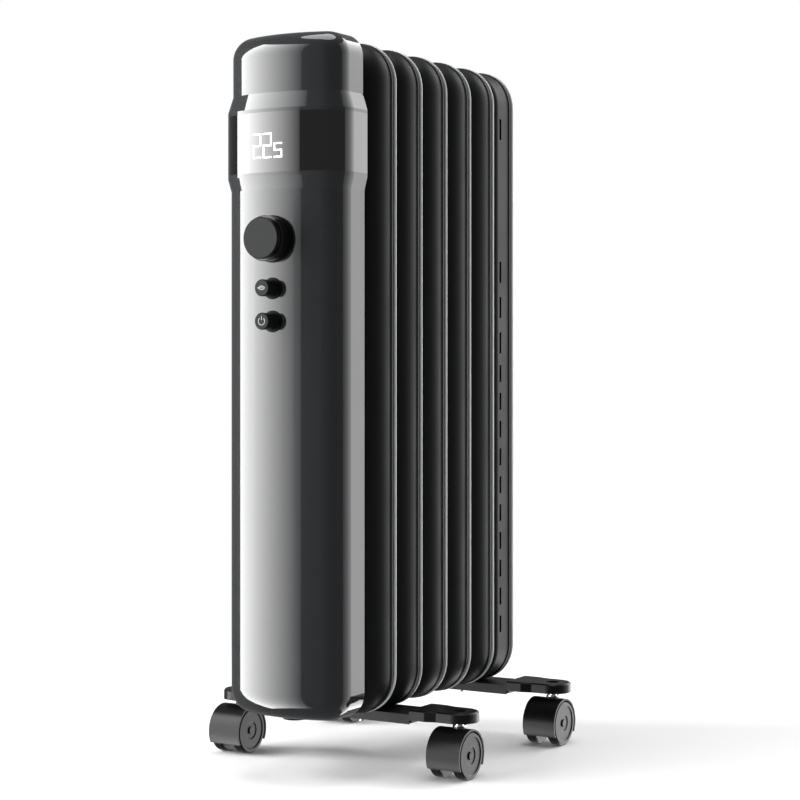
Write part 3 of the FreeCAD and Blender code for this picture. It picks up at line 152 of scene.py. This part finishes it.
@dataclass(frozen=True)
class Finish:
    """One material: a colour, a gloss and the fine pattern of how it was made.

    Attributes:
        name: the real material's name.
        colour: its sRGB hex colour.
        roughness: the middle of its roughness.
        texture: how its surface was made.
        grain_mm: the real size of its pattern.
        relief_mm: how deep that pattern is.
        drift: how far colour and roughness wander, as a share.
        metallic: one for bare metal.
        coat: strength of a clear layer on top.
        coat_roughness: roughness of that layer.
        ior: index of refraction, for what isn't metal.
        glow: strength of its own light.
        specular: how much its own surface mirrors, under any coat.
    """

    name: str
    colour: str
    roughness: float
    texture: Texture
    grain_mm: float
    relief_mm: float = 0.02
    drift: float = 0.1
    metallic: float = 0.0
    coat: float = 0.0
    coat_roughness: float = 0.05
    ior: float = 1.5
    glow: float = 0.0
    specular: float = 0.5

    def pattern_scale(self) -> tuple[float, float, float]:
        """Returns the pattern's cells per metre along X, Y and Z, from the grain's real size."""
        cells = 1.0 / (self.grain_mm * MM)
        if self.texture is Texture.DRAWN:
            return cells, cells, cells * STREAK
        if self.texture is Texture.TURNED:
            return cells * STREAK, cells, cells * STREAK
        return cells, cells, cells

    def material(self) -> bpy.types.Material:
        """Builds the material once.

        Colour follows a wide, soft noise and the fine grain, and roughness the wide noise alone; the grain
        also gives the bump.

        Returns:
            The material.
        """
        made = bpy.data.materials.get(self.name)
        if made is not None:
            return made
        made = bpy.data.materials.new(self.name)
        made.use_nodes = True
        tree = made.node_tree
        tree.nodes.clear()
        places = add_node(tree, "ShaderNodeTexCoord").outputs["Object"]
        sized = add_node(
            tree, "ShaderNodeMapping", {"Scale": self.pattern_scale()}, {"Vector": places}
        ).outputs["Vector"]
        grain = self.grain(tree, sized)
        wide = add_node(
            tree,
            "ShaderNodeTexNoise",
            {"Scale": PATCHES, "Detail": 3.0, "Roughness": 0.55},
            {"Vector": places},
        ).outputs["Fac"]
        both = add_node(tree, "ShaderNodeMath", {"operation": "ADD"}, {0: wide, 1: grain}).outputs[0]
        colour = add_node(tree, "ShaderNodeValToRGB", links={"Fac": self.halved(tree, both)})
        ramp = colour.color_ramp
        ramp.elements[0].position, ramp.elements[1].position = NOISE_LOW, NOISE_HIGH
        ramp.elements[0].color = shade(self.colour, 1 - self.drift)
        ramp.elements[1].color = shade(self.colour, 1 + self.drift)
        rough = add_node(
            tree,
            "ShaderNodeMapRange",
            {
                "From Min": NOISE_LOW,
                "From Max": NOISE_HIGH,
                "To Min": self.roughness * (1 - self.drift),
                "To Max": min(self.roughness * (1 + self.drift), 1.0),
            },
            {"Value": wide},
        ).outputs[0]
        bump = add_node(
            tree, "ShaderNodeBump", {"Strength": 1.0, "Distance": self.relief_mm * MM}, {"Height": grain}
        ).outputs["Normal"]
        settings = {"Metallic": self.metallic}
        if not self.metallic:
            settings.update({"IOR": self.ior, "Specular IOR Level": self.specular})
        if self.coat:
            settings.update({"Coat Weight": self.coat, "Coat Roughness": self.coat_roughness})
        if self.glow:
            settings.update({"Emission Color": linear(self.colour), "Emission Strength": self.glow})
        shader = add_node(
            tree,
            "ShaderNodeBsdfPrincipled",
            settings,
            {"Base Color": colour.outputs["Color"], "Roughness": rough, "Normal": bump},
        )
        add_node(tree, "ShaderNodeOutputMaterial", links={"Surface": shader.outputs["BSDF"]})
        return made

    def halved(self, tree: bpy.types.NodeTree, value: bpy.types.NodeSocket) -> bpy.types.NodeSocket:
        """Returns half of a value, so that a sum of two patterns stays between zero and one."""
        return add_node(tree, "ShaderNodeMath", {"operation": "MULTIPLY", 1: 0.5}, {0: value}).outputs[0]

    def grain(self, tree: bpy.types.NodeTree, places: bpy.types.NodeSocket) -> bpy.types.NodeSocket:
        """Adds the fine pattern's own nodes.

        Args:
            tree: the material's node tree.
            places: coordinates in which one cell of the pattern is one unit.

        Returns:
            The pattern's height, from zero to one.
        """
        if self.texture is Texture.WOVEN:
            across, along = (
                add_node(tree, "ShaderNodeTexWave", {"bands_direction": way, "Scale": 1.0}, {"Vector": places})
                for way in ("X", "Z")
            )
            threads = {0: across.outputs["Fac"], 1: along.outputs["Fac"]}
            return add_node(tree, "ShaderNodeMath", {"operation": "MULTIPLY"}, threads).outputs[0]
        if self.texture is Texture.SPARK_ERODED:
            settings = {"Scale": 1.0, "Randomness": 1.0}
            cells = add_node(tree, "ShaderNodeTexVoronoi", settings, {"Vector": places})
            return cells.outputs["Distance"]
        return add_node(
            tree, "ShaderNodeTexNoise", {"Scale": 1.0, "Detail": 2.0, "Roughness": 0.5}, {"Vector": places}
        ).outputs["Fac"]

    def dress(self, *pieces: bpy.types.Object) -> None:
        """Gives pieces this finish alone."""
        for piece in pieces:
            piece.data.materials.clear()
            piece.data.materials.append(self.material())


# Powder coat: a dark grey skin with a slight orange peel, which spreads each highlight into a soft band.
ELEMENT_PAINT = Finish(
    "powder_coat_graphite", "#141516", roughness=0.46, texture=Texture.ORANGE_PEEL,
    grain_mm=1.6, relief_mm=0.012, drift=0.12, specular=0.08,
)
# Powder coat on the rolled seam, smoother and pale grey instead of graphite: a painted highlight, the thin
# bright line that the seam's rounded edge catches from the lights.
SEAM_HIGHLIGHT_PAINT = Finish(
    "seam_painted_highlight", "#a6a8aa", roughness=0.28, texture=Texture.ORANGE_PEEL,
    grain_mm=1.6, relief_mm=0.006, drift=0.08,
)
# Black powder coat on the foot bars: a soft sheen with fine texture.
BAR_PAINT = Finish(
    "powder_coat_black", "#101011", roughness=0.42, texture=Texture.ORANGE_PEEL,
    grain_mm=1.2, relief_mm=0.02, drift=0.15, specular=0.18,
)
# ABS under a grey lacquer: a mirror-like clear coat over a dark body.
LACQUER = Finish(
    "abs_grey_lacquer", "#17191b", roughness=0.5, texture=Texture.POLISHED,
    grain_mm=0.6, relief_mm=0.001, drift=0.08, coat=1.0, coat_roughness=0.03, specular=0.05,
)
# Cast acrylic over black print: deep black with sharp reflections.
ACRYLIC = Finish(
    "acrylic_piano_black", "#030303", roughness=0.03, texture=Texture.POLISHED,
    grain_mm=4.0, relief_mm=0.0004, drift=0.2, coat=0.6, coat_roughness=0.02, ior=1.49,
)
# Light-guide segments behind a clear skin: even white light.
SEGMENT = Finish(
    "polycarbonate_light_guide", "#f4f8ff", roughness=0.3, texture=Texture.POLISHED,
    grain_mm=2.0, relief_mm=0.001, drift=0.02, ior=1.58, glow=2.2,
)
# Grey pad print on the buttons: a thin matt ink.
INK = Finish(
    "pad_print_grey", "#8d9093", roughness=0.6, texture=Texture.SPARK_ERODED,
    grain_mm=0.3, relief_mm=0.002, drift=0.06,
)
# ABS with a fine eroded texture: satin black that scatters light a little.
SATIN_BLACK = Finish(
    "abs_satin_black", "#131415", roughness=0.34, texture=Texture.SPARK_ERODED,
    grain_mm=0.35, relief_mm=0.01, drift=0.12, specular=0.1,
)
# Polished black ABS on the knob's side.
GLOSS_BLACK = Finish(
    "abs_gloss_black", "#08080a", roughness=0.16, texture=Texture.POLISHED,
    grain_mm=3.0, relief_mm=0.001, drift=0.2,
)
# Matt black ABS on the bezels, which stay dark beside the bright casing.
MATT_BLACK = Finish(
    "abs_matt_black", "#060607", roughness=0.5, texture=Texture.SPARK_ERODED,
    grain_mm=0.5, relief_mm=0.01, drift=0.15, specular=0.08,
)
# Moulded nylon: dense black with a faint eroded grain and soft highlights.
NYLON = Finish(
    "nylon_moulded_black", "#0b0b0c", roughness=0.34, texture=Texture.SPARK_ERODED,
    grain_mm=0.5, relief_mm=0.008, drift=0.18, ior=1.53, specular=0.16,
)
# Bright zinc plate over turned or drawn steel.
ZINC = Finish(
    "zinc_plated_steel", "#b4b7ba", roughness=0.3, texture=Texture.DRAWN,
    grain_mm=0.4, relief_mm=0.004, drift=0.12, metallic=1.0,
)
# Chromed pin: near mirror, with faint turning rings.
CHROME = Finish(
    "chromed_steel", "#d4d6d8", roughness=0.08, texture=Texture.TURNED,
    grain_mm=0.3, relief_mm=0.001, drift=0.05, metallic=1.0,
)
# Blackened steel pins of the casters: an oxide skin, dark and dull.
BLACKENED = Finish(
    "black_oxide_steel", "#0e0e0f", roughness=0.4, texture=Texture.TURNED,
    grain_mm=0.4, relief_mm=0.002, drift=0.15, specular=0.2,
)
# Galvanised sheet: dull silver with a broad spangle.
GALVANISED = Finish(
    "galvanised_sheet", "#a4a7aa", roughness=0.42, texture=Texture.SPARK_ERODED,
    grain_mm=9.0, relief_mm=0.002, drift=0.16, metallic=1.0,
)
# Machined brass, slightly dulled by heat.
BRASS = Finish(
    "machined_brass", "#b08d4a", roughness=0.3, texture=Texture.TURNED,
    grain_mm=0.5, relief_mm=0.003, drift=0.12, metallic=1.0,
)
# Drawn steel sheath with a heat tint.
SHEATH = Finish(
    "steel_sheath", "#8d857b", roughness=0.4, texture=Texture.DRAWN,
    grain_mm=0.6, relief_mm=0.003, drift=0.16, metallic=1.0,
)
# Silicone rubber, brick red and matt.
SILICONE = Finish(
    "silicone_red", "#7a3128", roughness=0.7, texture=Texture.SPARK_ERODED,
    grain_mm=0.6, relief_mm=0.01, drift=0.12, ior=1.41,
)
# Glass-epoxy laminate under green solder mask: the weave shows as a faint check.
LAMINATE = Finish(
    "glass_epoxy_green", "#1c5a35", roughness=0.3, texture=Texture.WOVEN,
    grain_mm=1.2, relief_mm=0.004, drift=0.14, coat=0.4,
)
# Moulded PBT of switches and relays, off-white and matt.
DEVICE = Finish(
    "pbt_offwhite", "#bdb7a8", roughness=0.5, texture=Texture.SPARK_ERODED,
    grain_mm=0.4, relief_mm=0.006, drift=0.1,
)


# ---------------------------------------------------------------- sub-assemblies


@dataclass
class Elements:
    """The pressed oil elements with their collars, plug and rolled seams.

    Attributes:
        count: how many elements there are.
        bead_mm: radius of the rolled seam's rounded edge.
        proud_mm: how far the seam stands out of the hem that it closes.
        corner_mm: corner radius of an element's outline.
        corner_points: points along each corner of a seam.
        bead_points: points round a seam's bead.
        slot: the seam's material slot; not used.
    """

    count: int = 6
    bead_mm: float = 1.5
    proud_mm: float = 0.45
    corner_mm: float = 36.0
    corner_points: int = 24
    bead_points: int = 20
    slot: str = "element_paint"

    def outline(self, half: float, low: float, high: float, radius: float) -> np.ndarray:
        """Works out a rounded rectangle in the XZ plane, with its outward directions.

        Each corner is an arc of the given radius, and the straight sides join their ends. It runs clockwise
        seen along +Y.

        Args:
            half: half of its width.
            low: its lowest Z.
            high: its highest Z.
            radius: radius of its corners.

        Returns:
            An array of rows x, z, outward x, outward z.
        """
        turn = np.linspace(0, math.pi / 2, self.corner_points)
        rows = []
        for quarter, (cx, cz) in enumerate(
            ((half - radius, high - radius), (half - radius, low + radius),
             (-half + radius, low + radius), (-half + radius, high - radius))
        ):
            angle = math.pi / 2 - quarter * math.pi / 2 - turn
            out = np.stack([np.cos(angle), np.sin(angle)], axis=1)
            rows.append(np.concatenate([np.array([[cx, cz]]) + radius * out, out], axis=1))
        return np.concatenate(rows)

    def seam(self, index: int) -> bpy.types.Object:
        """Makes the rolled seam of one element: a round bead swept along the element's outline.

        Args:
            index: the element's number, from 1.

        Returns:
            The seam.
        """
        low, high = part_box(f"fin_{index}")
        bead = self.bead_mm * MM
        inset = bead - self.proud_mm * MM
        path = self.outline(high.x - inset, low.z + inset, high.z - inset, self.corner_mm * MM - inset)
        turn = np.linspace(0, FULL_TURN, self.bead_points, endpoint=False)
        out, back = np.cos(turn)[None, :] * bead, np.sin(turn)[None, :] * bead
        points = np.stack(
            [
                path[:, 0, None] + path[:, 2, None] * out,
                np.broadcast_to(high.y - bead + back, (len(path), len(turn))),
                path[:, 1, None] + path[:, 3, None] * out,
            ],
            axis=-1,
        )
        piece = surface(f"seam_{index}", points, wrap_u=True, wrap_v=True)
        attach(piece, "heater")
        # The seam's pale grey is a painted highlight: the bright line along each element's edge.
        SEAM_HIGHLIGHT_PAINT.dress(piece)
        return piece

    def build(self) -> list[bpy.types.Object]:
        """Dresses the elements and adds a seam to each."""
        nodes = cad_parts
        ELEMENT_PAINT.dress(*(nodes[f"fin_{i}"] for i in range(1, self.count + 1)), nodes["header_collars"])
        ZINC.dress(nodes["filler_plug"])
        SILICONE.dress(nodes["heater_gasket"])
        BRASS.dress(nodes["heater_flange"])
        SHEATH.dress(nodes["heating_rods"])
        return [self.seam(i) for i in range(1, self.count + 1)]


@dataclass
class Tower:
    """The control tower's shells and what holds them."""

    lacquered: tuple[str, ...] = ("lower_casing", "top_cap")

    def build(self) -> list[bpy.types.Object]:
        """Dresses the shells and their fasteners."""
        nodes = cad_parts
        LACQUER.dress(*(nodes[name] for name in self.lacquered))
        ACRYLIC.dress(nodes["display_band"])
        GALVANISED.dress(nodes["heat_shield"])
        ZINC.dress(nodes["casing_screws"], nodes["spacer_bushes"], nodes["tower_bolts"])
        SATIN_BLACK.dress(nodes["cord_gland"])
        return []


@dataclass
class Controls:
    """Knob, buttons, display and their printed marks.

    Attributes:
        print_mm: how far ink stands off its button.
        line_mm: width of a printed line.
        mark_mm: size of a printed mark from its middle to its edge.
        face_mm: how deep the knob's flat face reaches from its front.
        ring_gap: half of the gap in the on-off symbol's ring.
        bar_foot: foot of its bar above the ring's middle, as a share of mark_mm.
        bar_head: head of its bar, likewise.
        leaf_bow: half of the angle that each side of the leaf turns through.
        vein_foot: foot of the leaf's vein beside its middle, as a share of mark_mm.
        vein_head: head of its vein, likewise.
        arc_points: points along an arc.
        stroke_points: points along a straight line.
        line_points: points across a printed line.
    """

    print_mm: float = 0.06
    line_mm: float = 0.6
    mark_mm: float = 3.2
    face_mm: float = 1.0
    ring_gap: float = math.radians(38)
    bar_foot: float = 0.25
    bar_head: float = 1.35
    leaf_bow: float = math.radians(50)
    vein_foot: float = 1.3
    vein_head: float = 0.5
    arc_points: int = 40
    stroke_points: int = 8
    line_points: int = 4

    def arc(
        self,
        name: str,
        centre: tuple[float, float],
        radius: float,
        start: float,
        end: float,
        y: float,
        body: str,
    ) -> bpy.types.Object:
        """Prints an arc: a strip between two radii, whose angle and radius are the grid's directions.

        Args:
            name: the piece's name.
            centre: X and Z of the arc's middle.
            radius: its middle radius.
            start: first angle from +X, towards +Z.
            end: last angle.
            y: the face that it is printed on.
            body: the body that it rides on.

        Returns:
            The printed piece.
        """
        angle = np.linspace(start, end, self.arc_points)[:, None]
        reach = radius + np.linspace(-0.5, 0.5, self.line_points)[None, :] * self.line_mm * MM
        points = np.stack(
            [
                centre[0] + reach * np.cos(angle),
                np.full(np.broadcast_shapes(reach.shape, angle.shape), y - self.print_mm * MM),
                centre[1] + reach * np.sin(angle),
            ],
            axis=-1,
        )
        return self.printed(surface(name, points), body)

    def stroke(
        self, name: str, first: tuple[float, float], last: tuple[float, float], y: float, body: str
    ) -> bpy.types.Object:
        """Prints a straight line: a strip along it, half a line's width to each side.

        Args:
            name: the piece's name.
            first: X and Z of its first end.
            last: X and Z of its last end.
            y: the face that it is printed on.
            body: the body that it rides on.

        Returns:
            The printed piece.
        """
        ends = np.array([first, last])
        along = (ends[1] - ends[0]) / np.linalg.norm(ends[1] - ends[0])
        side = np.array([along[1], -along[0]]) * self.line_mm * MM / 2
        share = np.linspace(0, 1, self.stroke_points)[:, None, None]
        across = np.linspace(1, -1, self.line_points)[None, :, None]
        flat = ends[0] + (ends[1] - ends[0]) * share + side * across
        depth = np.full(flat.shape[:2], y - self.print_mm * MM)
        points = np.stack([flat[..., 0], depth, flat[..., 1]], axis=-1)
        return self.printed(surface(name, points), body)

    def printed(self, piece: bpy.types.Object, body: str) -> bpy.types.Object:
        """Gives a printed piece its ink, its body and a thickness that its button backs.

        Args:
            piece: the printed piece, a single sheet.
            body: the body that it rides on.

        Returns:
            The same piece.
        """
        thick = piece.modifiers.new("ink", "SOLIDIFY")
        thick.thickness = self.print_mm * MM
        thick.offset = -1
        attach(piece, body)
        INK.dress(piece)
        return piece

    def power_mark(self) -> list[bpy.types.Object]:
        """Prints the on-off symbol: a ring with a gap at its top, and a bar through the gap."""
        low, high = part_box("power_button")
        x, z = (low.x + high.x) / 2, (low.z + high.z) / 2
        mark = self.mark_mm * MM
        top = math.pi / 2
        ends = top - self.ring_gap, top - FULL_TURN + self.ring_gap
        ring = self.arc("power_ring", (x, z), mark, *ends, low.y, "power_button")
        foot, head = z + mark * self.bar_foot, z + mark * self.bar_head
        bar = self.stroke("power_bar", (x, foot), (x, head), low.y, "power_button")
        return [ring, bar]

    def leaf_mark(self) -> list[bpy.types.Object]:
        """Prints a plain leaf: two arcs that meet at its tips, and its vein."""
        low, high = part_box("eco_button")
        x, z = (low.x + high.x) / 2, (low.z + high.z) / 2
        mark = self.mark_mm * MM
        top, bow = math.pi / 2, self.leaf_bow
        drop = mark * math.cos(bow) / math.sin(bow)
        radius = mark / math.sin(bow)
        upper = self.arc("leaf_upper", (x, z - drop), radius, top + bow, top - bow, low.y, "eco_button")
        lower = self.arc("leaf_lower", (x, z + drop), radius, bow - top, -bow - top, low.y, "eco_button")
        foot, head = x - mark * self.vein_foot, x + mark * self.vein_head
        vein = self.stroke("leaf_vein", (foot, z), (head, z), low.y, "eco_button")
        return [upper, lower, vein]

    def knob(self, piece: bpy.types.Object) -> None:
        """Dresses the knob: a satin face, and a polished side behind it.

        A face is satin where the mean of its corners lies within face_mm of the knob's front.

        Args:
            piece: the knob.
        """
        GLOSS_BLACK.dress(piece)
        piece.data.materials.append(SATIN_BLACK.material())
        faces = piece.data.polygons
        centres = np.empty(len(faces) * 3)
        faces.foreach_get("center", centres)
        depth = centres.reshape(-1, 3)[:, 1]
        faces.foreach_set("material_index", (depth < depth.min() + self.face_mm * MM).astype(np.int32))
        piece.data.update()

    def build(self) -> list[bpy.types.Object]:
        """Dresses the controls and prints their marks."""
        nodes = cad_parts
        self.knob(nodes["mode_knob"])
        SATIN_BLACK.dress(nodes["eco_button"], nodes["power_button"])
        MATT_BLACK.dress(nodes["control_bezels"])
        SEGMENT.dress(nodes["display_digits"])
        return self.power_mark() + self.leaf_mark()


@dataclass
class Electrics:
    """What is inside the tower."""

    def build(self) -> list[bpy.types.Object]:
        """Dresses the boards and the devices on them."""
        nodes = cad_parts
        LAMINATE.dress(nodes["control_board"], nodes["power_board"])
        devices = "display_module", "push_switches", "thermal_cutout", "tip_over_switch", "knob_plunger"
        DEVICE.dress(*(nodes[name] for name in devices))
        ZINC.dress(nodes["rotary_encoder"], nodes["encoder_shaft"])
        return []


class Row(Enum):
    """The two foot bars."""

    FRONT = "front"
    REAR = "rear"


class Hand(Enum):
    """The two ends of a foot bar."""

    LEFT = "left"
    RIGHT = "right"


@dataclass
class Feet:
    """The foot bars with their clamps, tips and casters."""

    rows: tuple[Row, ...] = (Row.FRONT, Row.REAR)
    hands: tuple[Hand, ...] = (Hand.LEFT, Hand.RIGHT)
    moulded: tuple[str, ...] = ("foot_tip", "caster_hood", "caster_right_wheel", "caster_left_wheel")

    def build(self) -> list[bpy.types.Object]:
        """Dresses the bars, the clamps and each corner's tip and caster."""
        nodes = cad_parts
        BAR_PAINT.dress(nodes["foot_bars"])
        ZINC.dress(nodes["foot_ubolts"], nodes["wing_nuts"])
        for corner in (f"{row.value}_{hand.value}" for row in self.rows for hand in self.hands):
            NYLON.dress(*(nodes[f"{corner}_{part}"] for part in self.moulded))
            CHROME.dress(nodes[f"{corner}_caster_stem"])
            BLACKENED.dress(nodes[f"{corner}_caster_axle"])
        return []


# ---------------------------------------------------------------- studio


@dataclass(frozen=True)
class Panel:
    """A curved, lit panel that stands round the heater.

    Attributes:
        name: the panel's name.
        start: bearing of its first edge, in degrees from the tower's front towards +X.
        end: bearing of its last edge.
        first: radiance at its first edge.
        last: radiance at its last edge.
        curve: power of the brightness; above one, it changes slowly at the dim end.
        radius: from the heater to the panel.
        reach: how far it goes up, and down past the floor, which mirrors don't see.
        columns: points along it.
    """

    name: str
    start: float
    end: float
    first: float
    last: float
    curve: float
    radius: float = 2.4
    reach: float = 3.0
    columns: int = 25

    def sheet(self) -> bpy.types.Object:
        """Makes its sheet, a part of an upright cylinder about the origin.

        A point's bearing and height are the grid's two directions.

        Returns:
            The sheet.
        """
        bearing = np.radians(np.linspace(self.start, self.end, self.columns))[:, None]
        height = np.linspace(-self.reach, self.reach, 5)[None, :]
        x = self.radius * np.sin(bearing) + 0 * height
        y = -self.radius * np.cos(bearing) + 0 * height
        return surface(self.name, np.stack([x, y, height + 0 * bearing], axis=-1))

    def light(self) -> bpy.types.Material:
        """Builds its light, whose strength is the power of a straight line from one edge to the other.

        Returns:
            The material.
        """
        made = bpy.data.materials.new(self.name)
        made.use_nodes = True
        tree = made.node_tree
        tree.nodes.clear()
        places = add_node(tree, "ShaderNodeTexCoord").outputs["Object"]
        axes = add_node(tree, "ShaderNodeSeparateXYZ", links={"Vector": places}).outputs
        back = add_node(tree, "ShaderNodeMath", {"operation": "MULTIPLY", 1: -1.0}, {0: axes["Y"]}).outputs[0]
        turn = add_node(tree, "ShaderNodeMath", {"operation": "ARCTAN2"}, {0: axes["X"], 1: back}).outputs[0]
        line = add_node(
            tree,
            "ShaderNodeMapRange",
            {
                "From Min": math.radians(self.start),
                "From Max": math.radians(self.end),
                "To Min": self.first ** (1 / self.curve),
                "To Max": self.last ** (1 / self.curve),
            },
            {"Value": turn},
        ).outputs[0]
        power = add_node(tree, "ShaderNodeMath", {"operation": "POWER", 1: self.curve}, {0: line}).outputs[0]
        glow = add_node(tree, "ShaderNodeEmission", {"Color": linear("#ffffff")}, {"Strength": power})
        add_node(tree, "ShaderNodeOutputMaterial", links={"Surface": glow.outputs["Emission"]})
        return made

    def build(self) -> None:
        """Stands the panel up where the camera doesn't see it."""
        piece = self.sheet()
        piece.data.materials.append(self.light())
        piece.visible_camera = False


@dataclass
class Studio:
    """Floor, lights and camera.

    Attributes:
        azimuth: how far the camera stands round from the tower's front, towards +X.
        distance: from the origin to the camera's plane.
        side_step: how far the camera stands to its own right of the origin.
        height: height of the level camera.
        lens_mm: focal length.
        sensor_mm: width of the camera's sensor.
        shift: vertical shift, which frames the heater with the camera level.
        floor_fade: from the origin to where the floor starts to fade.
        floor_rim: from the origin to the floor's rim.
        floor_rings: rings of points in the floor.
        floor_spokes: points in each ring.
        seen: radiance of the surround that the camera sees.
        lit: radiance of the surround that lights the heater.
        lamp_width: diameter of the overhead light.
        lamp_power: its power in watts.
        lamp_height: its height above the floor.
        panels: the lit panels.
    """

    azimuth: float = math.radians(30.92)
    distance: float = 1.8425
    side_step: float = 0.0308
    height: float = 0.367
    lens_mm: float = 91.17
    sensor_mm: float = 36.0
    shift: float = -0.05875
    floor_fade: float = 0.35
    floor_rim: float = 0.95
    floor_rings: int = 12
    floor_spokes: int = 72
    seen: float = 1.0
    lit: float = 0.25
    lamp_width: float = 1.6
    lamp_power: float = 32.0
    lamp_height: float = 2.6
    panels: tuple[Panel, ...] = (
        Panel("panel_left", start=-69, end=-7, first=15.5, last=0.9, curve=1.0),
        Panel("panel_right", start=98, end=176, first=0.75, last=7.5, curve=4.0),
    )

    def camera(self) -> None:
        """Places the camera, level, at the angle that shows the tower's front and right side."""
        ahead = np.array([-math.sin(self.azimuth), math.cos(self.azimuth)])
        right = np.array([math.cos(self.azimuth), math.sin(self.azimuth)])
        x, y = right * self.side_step - ahead * self.distance
        data = bpy.data.cameras.new("camera")
        data.lens, data.sensor_width, data.shift_y = self.lens_mm, self.sensor_mm, self.shift
        data.clip_end = 100
        camera = bpy.data.objects.new("camera", data)
        camera.location = (x, y, self.height)
        camera.rotation_euler = (math.pi / 2, 0, self.azimuth)
        bpy.context.scene.collection.objects.link(camera)
        bpy.context.scene.camera = camera

    def floor_finish(self) -> bpy.types.Material:
        """Builds the floor's material: pale and slightly glossy, and clear towards its rim.

        Returns:
            The material.
        """
        made = bpy.data.materials.new("pale_floor")
        made.use_nodes = True
        tree = made.node_tree
        tree.nodes.clear()
        places = add_node(tree, "ShaderNodeTexCoord").outputs["Object"]
        noise = add_node(tree, "ShaderNodeTexNoise", {"Scale": 3.0, "Detail": 2.0}, {"Vector": places})
        wide = noise.outputs["Fac"]
        rough = add_node(tree, "ShaderNodeMapRange", {"To Min": 0.28, "To Max": 0.4}, {"Value": wide})
        shader = add_node(
            tree,
            "ShaderNodeBsdfPrincipled",
            {"Base Color": linear("#f4f4f4"), "IOR": 1.4},
            {"Roughness": rough.outputs[0]},
        )
        reach = add_node(tree, "ShaderNodeVectorMath", {"operation": "LENGTH"}, {0: places})
        fade = add_node(
            tree,
            "ShaderNodeMapRange",
            {"interpolation_type": "SMOOTHSTEP", "From Min": self.floor_fade, "From Max": self.floor_rim},
            {"Value": reach.outputs["Value"]},
        )
        clear = add_node(tree, "ShaderNodeBsdfTransparent")
        parts = {0: fade.outputs[0], 1: shader.outputs["BSDF"], 2: clear.outputs["BSDF"]}
        mixed = add_node(tree, "ShaderNodeMixShader", links=parts)
        add_node(tree, "ShaderNodeOutputMaterial", links={"Surface": mixed.outputs["Shader"]})
        return made

    def floor(self) -> None:
        """Lays a plain round floor that fades into the white surround at its rim.

        A point's distance from the origin and its bearing are the grid's two directions.
        """
        radius = np.linspace(0.0, self.floor_rim, self.floor_rings)[:, None]
        turn = np.linspace(0, FULL_TURN, self.floor_spokes, endpoint=False)[None, :]
        points = np.stack([radius * np.cos(turn), radius * np.sin(turn), 0 * radius * turn], axis=-1)
        floor = surface("floor", points, wrap_v=True)
        floor.data.materials.append(self.floor_finish())
        floor.visible_glossy = False

    def world(self) -> None:
        """Sets a white surround that the camera sees, and a dimmer one that lights the heater."""
        world = bpy.data.worlds.new("surround")
        bpy.context.scene.world = world
        world.use_nodes = True
        tree = world.node_tree
        tree.nodes.clear()
        seen, lit = (
            add_node(tree, "ShaderNodeBackground", {"Color": linear("#ffffff"), "Strength": strength})
            for strength in (self.seen, self.lit)
        )
        ray = add_node(tree, "ShaderNodeLightPath").outputs["Is Camera Ray"]
        parts = {0: ray, 1: lit.outputs["Background"], 2: seen.outputs["Background"]}
        mixed = add_node(tree, "ShaderNodeMixShader", links=parts)
        add_node(tree, "ShaderNodeOutputWorld", links={"Surface": mixed.outputs["Shader"]})

    def overhead(self) -> None:
        """Hangs the overhead light."""
        data = bpy.data.lights.new("overhead", "AREA")
        data.shape, data.size, data.energy = "DISK", self.lamp_width, self.lamp_power
        lamp = bpy.data.objects.new("overhead", data)
        lamp.location = (0, 0, self.lamp_height)
        lamp.visible_camera = False
        bpy.context.scene.collection.objects.link(lamp)

    def build(self) -> None:
        """Sets up everything round the heater."""
        bpy.context.scene.view_settings.view_transform = "Standard"
        self.camera()
        self.floor()
        self.world()
        for panel in self.panels:
            panel.build()
        self.overhead()


def main() -> None:
    """Builds the studio and each sub-assembly in order, and reports each piece."""
    logging.basicConfig(level=logging.INFO, format="%(name)s: %(message)s")
    Studio().build()
    for assembly in (Elements(), Tower(), Controls(), Electrics(), Feet()):
        for piece in assembly.build():
            log.info("%s: %d faces", piece.name, len(piece.data.polygons))
        log.info("%s dressed", type(assembly).__name__)


if __name__ == "__main__":
    main()
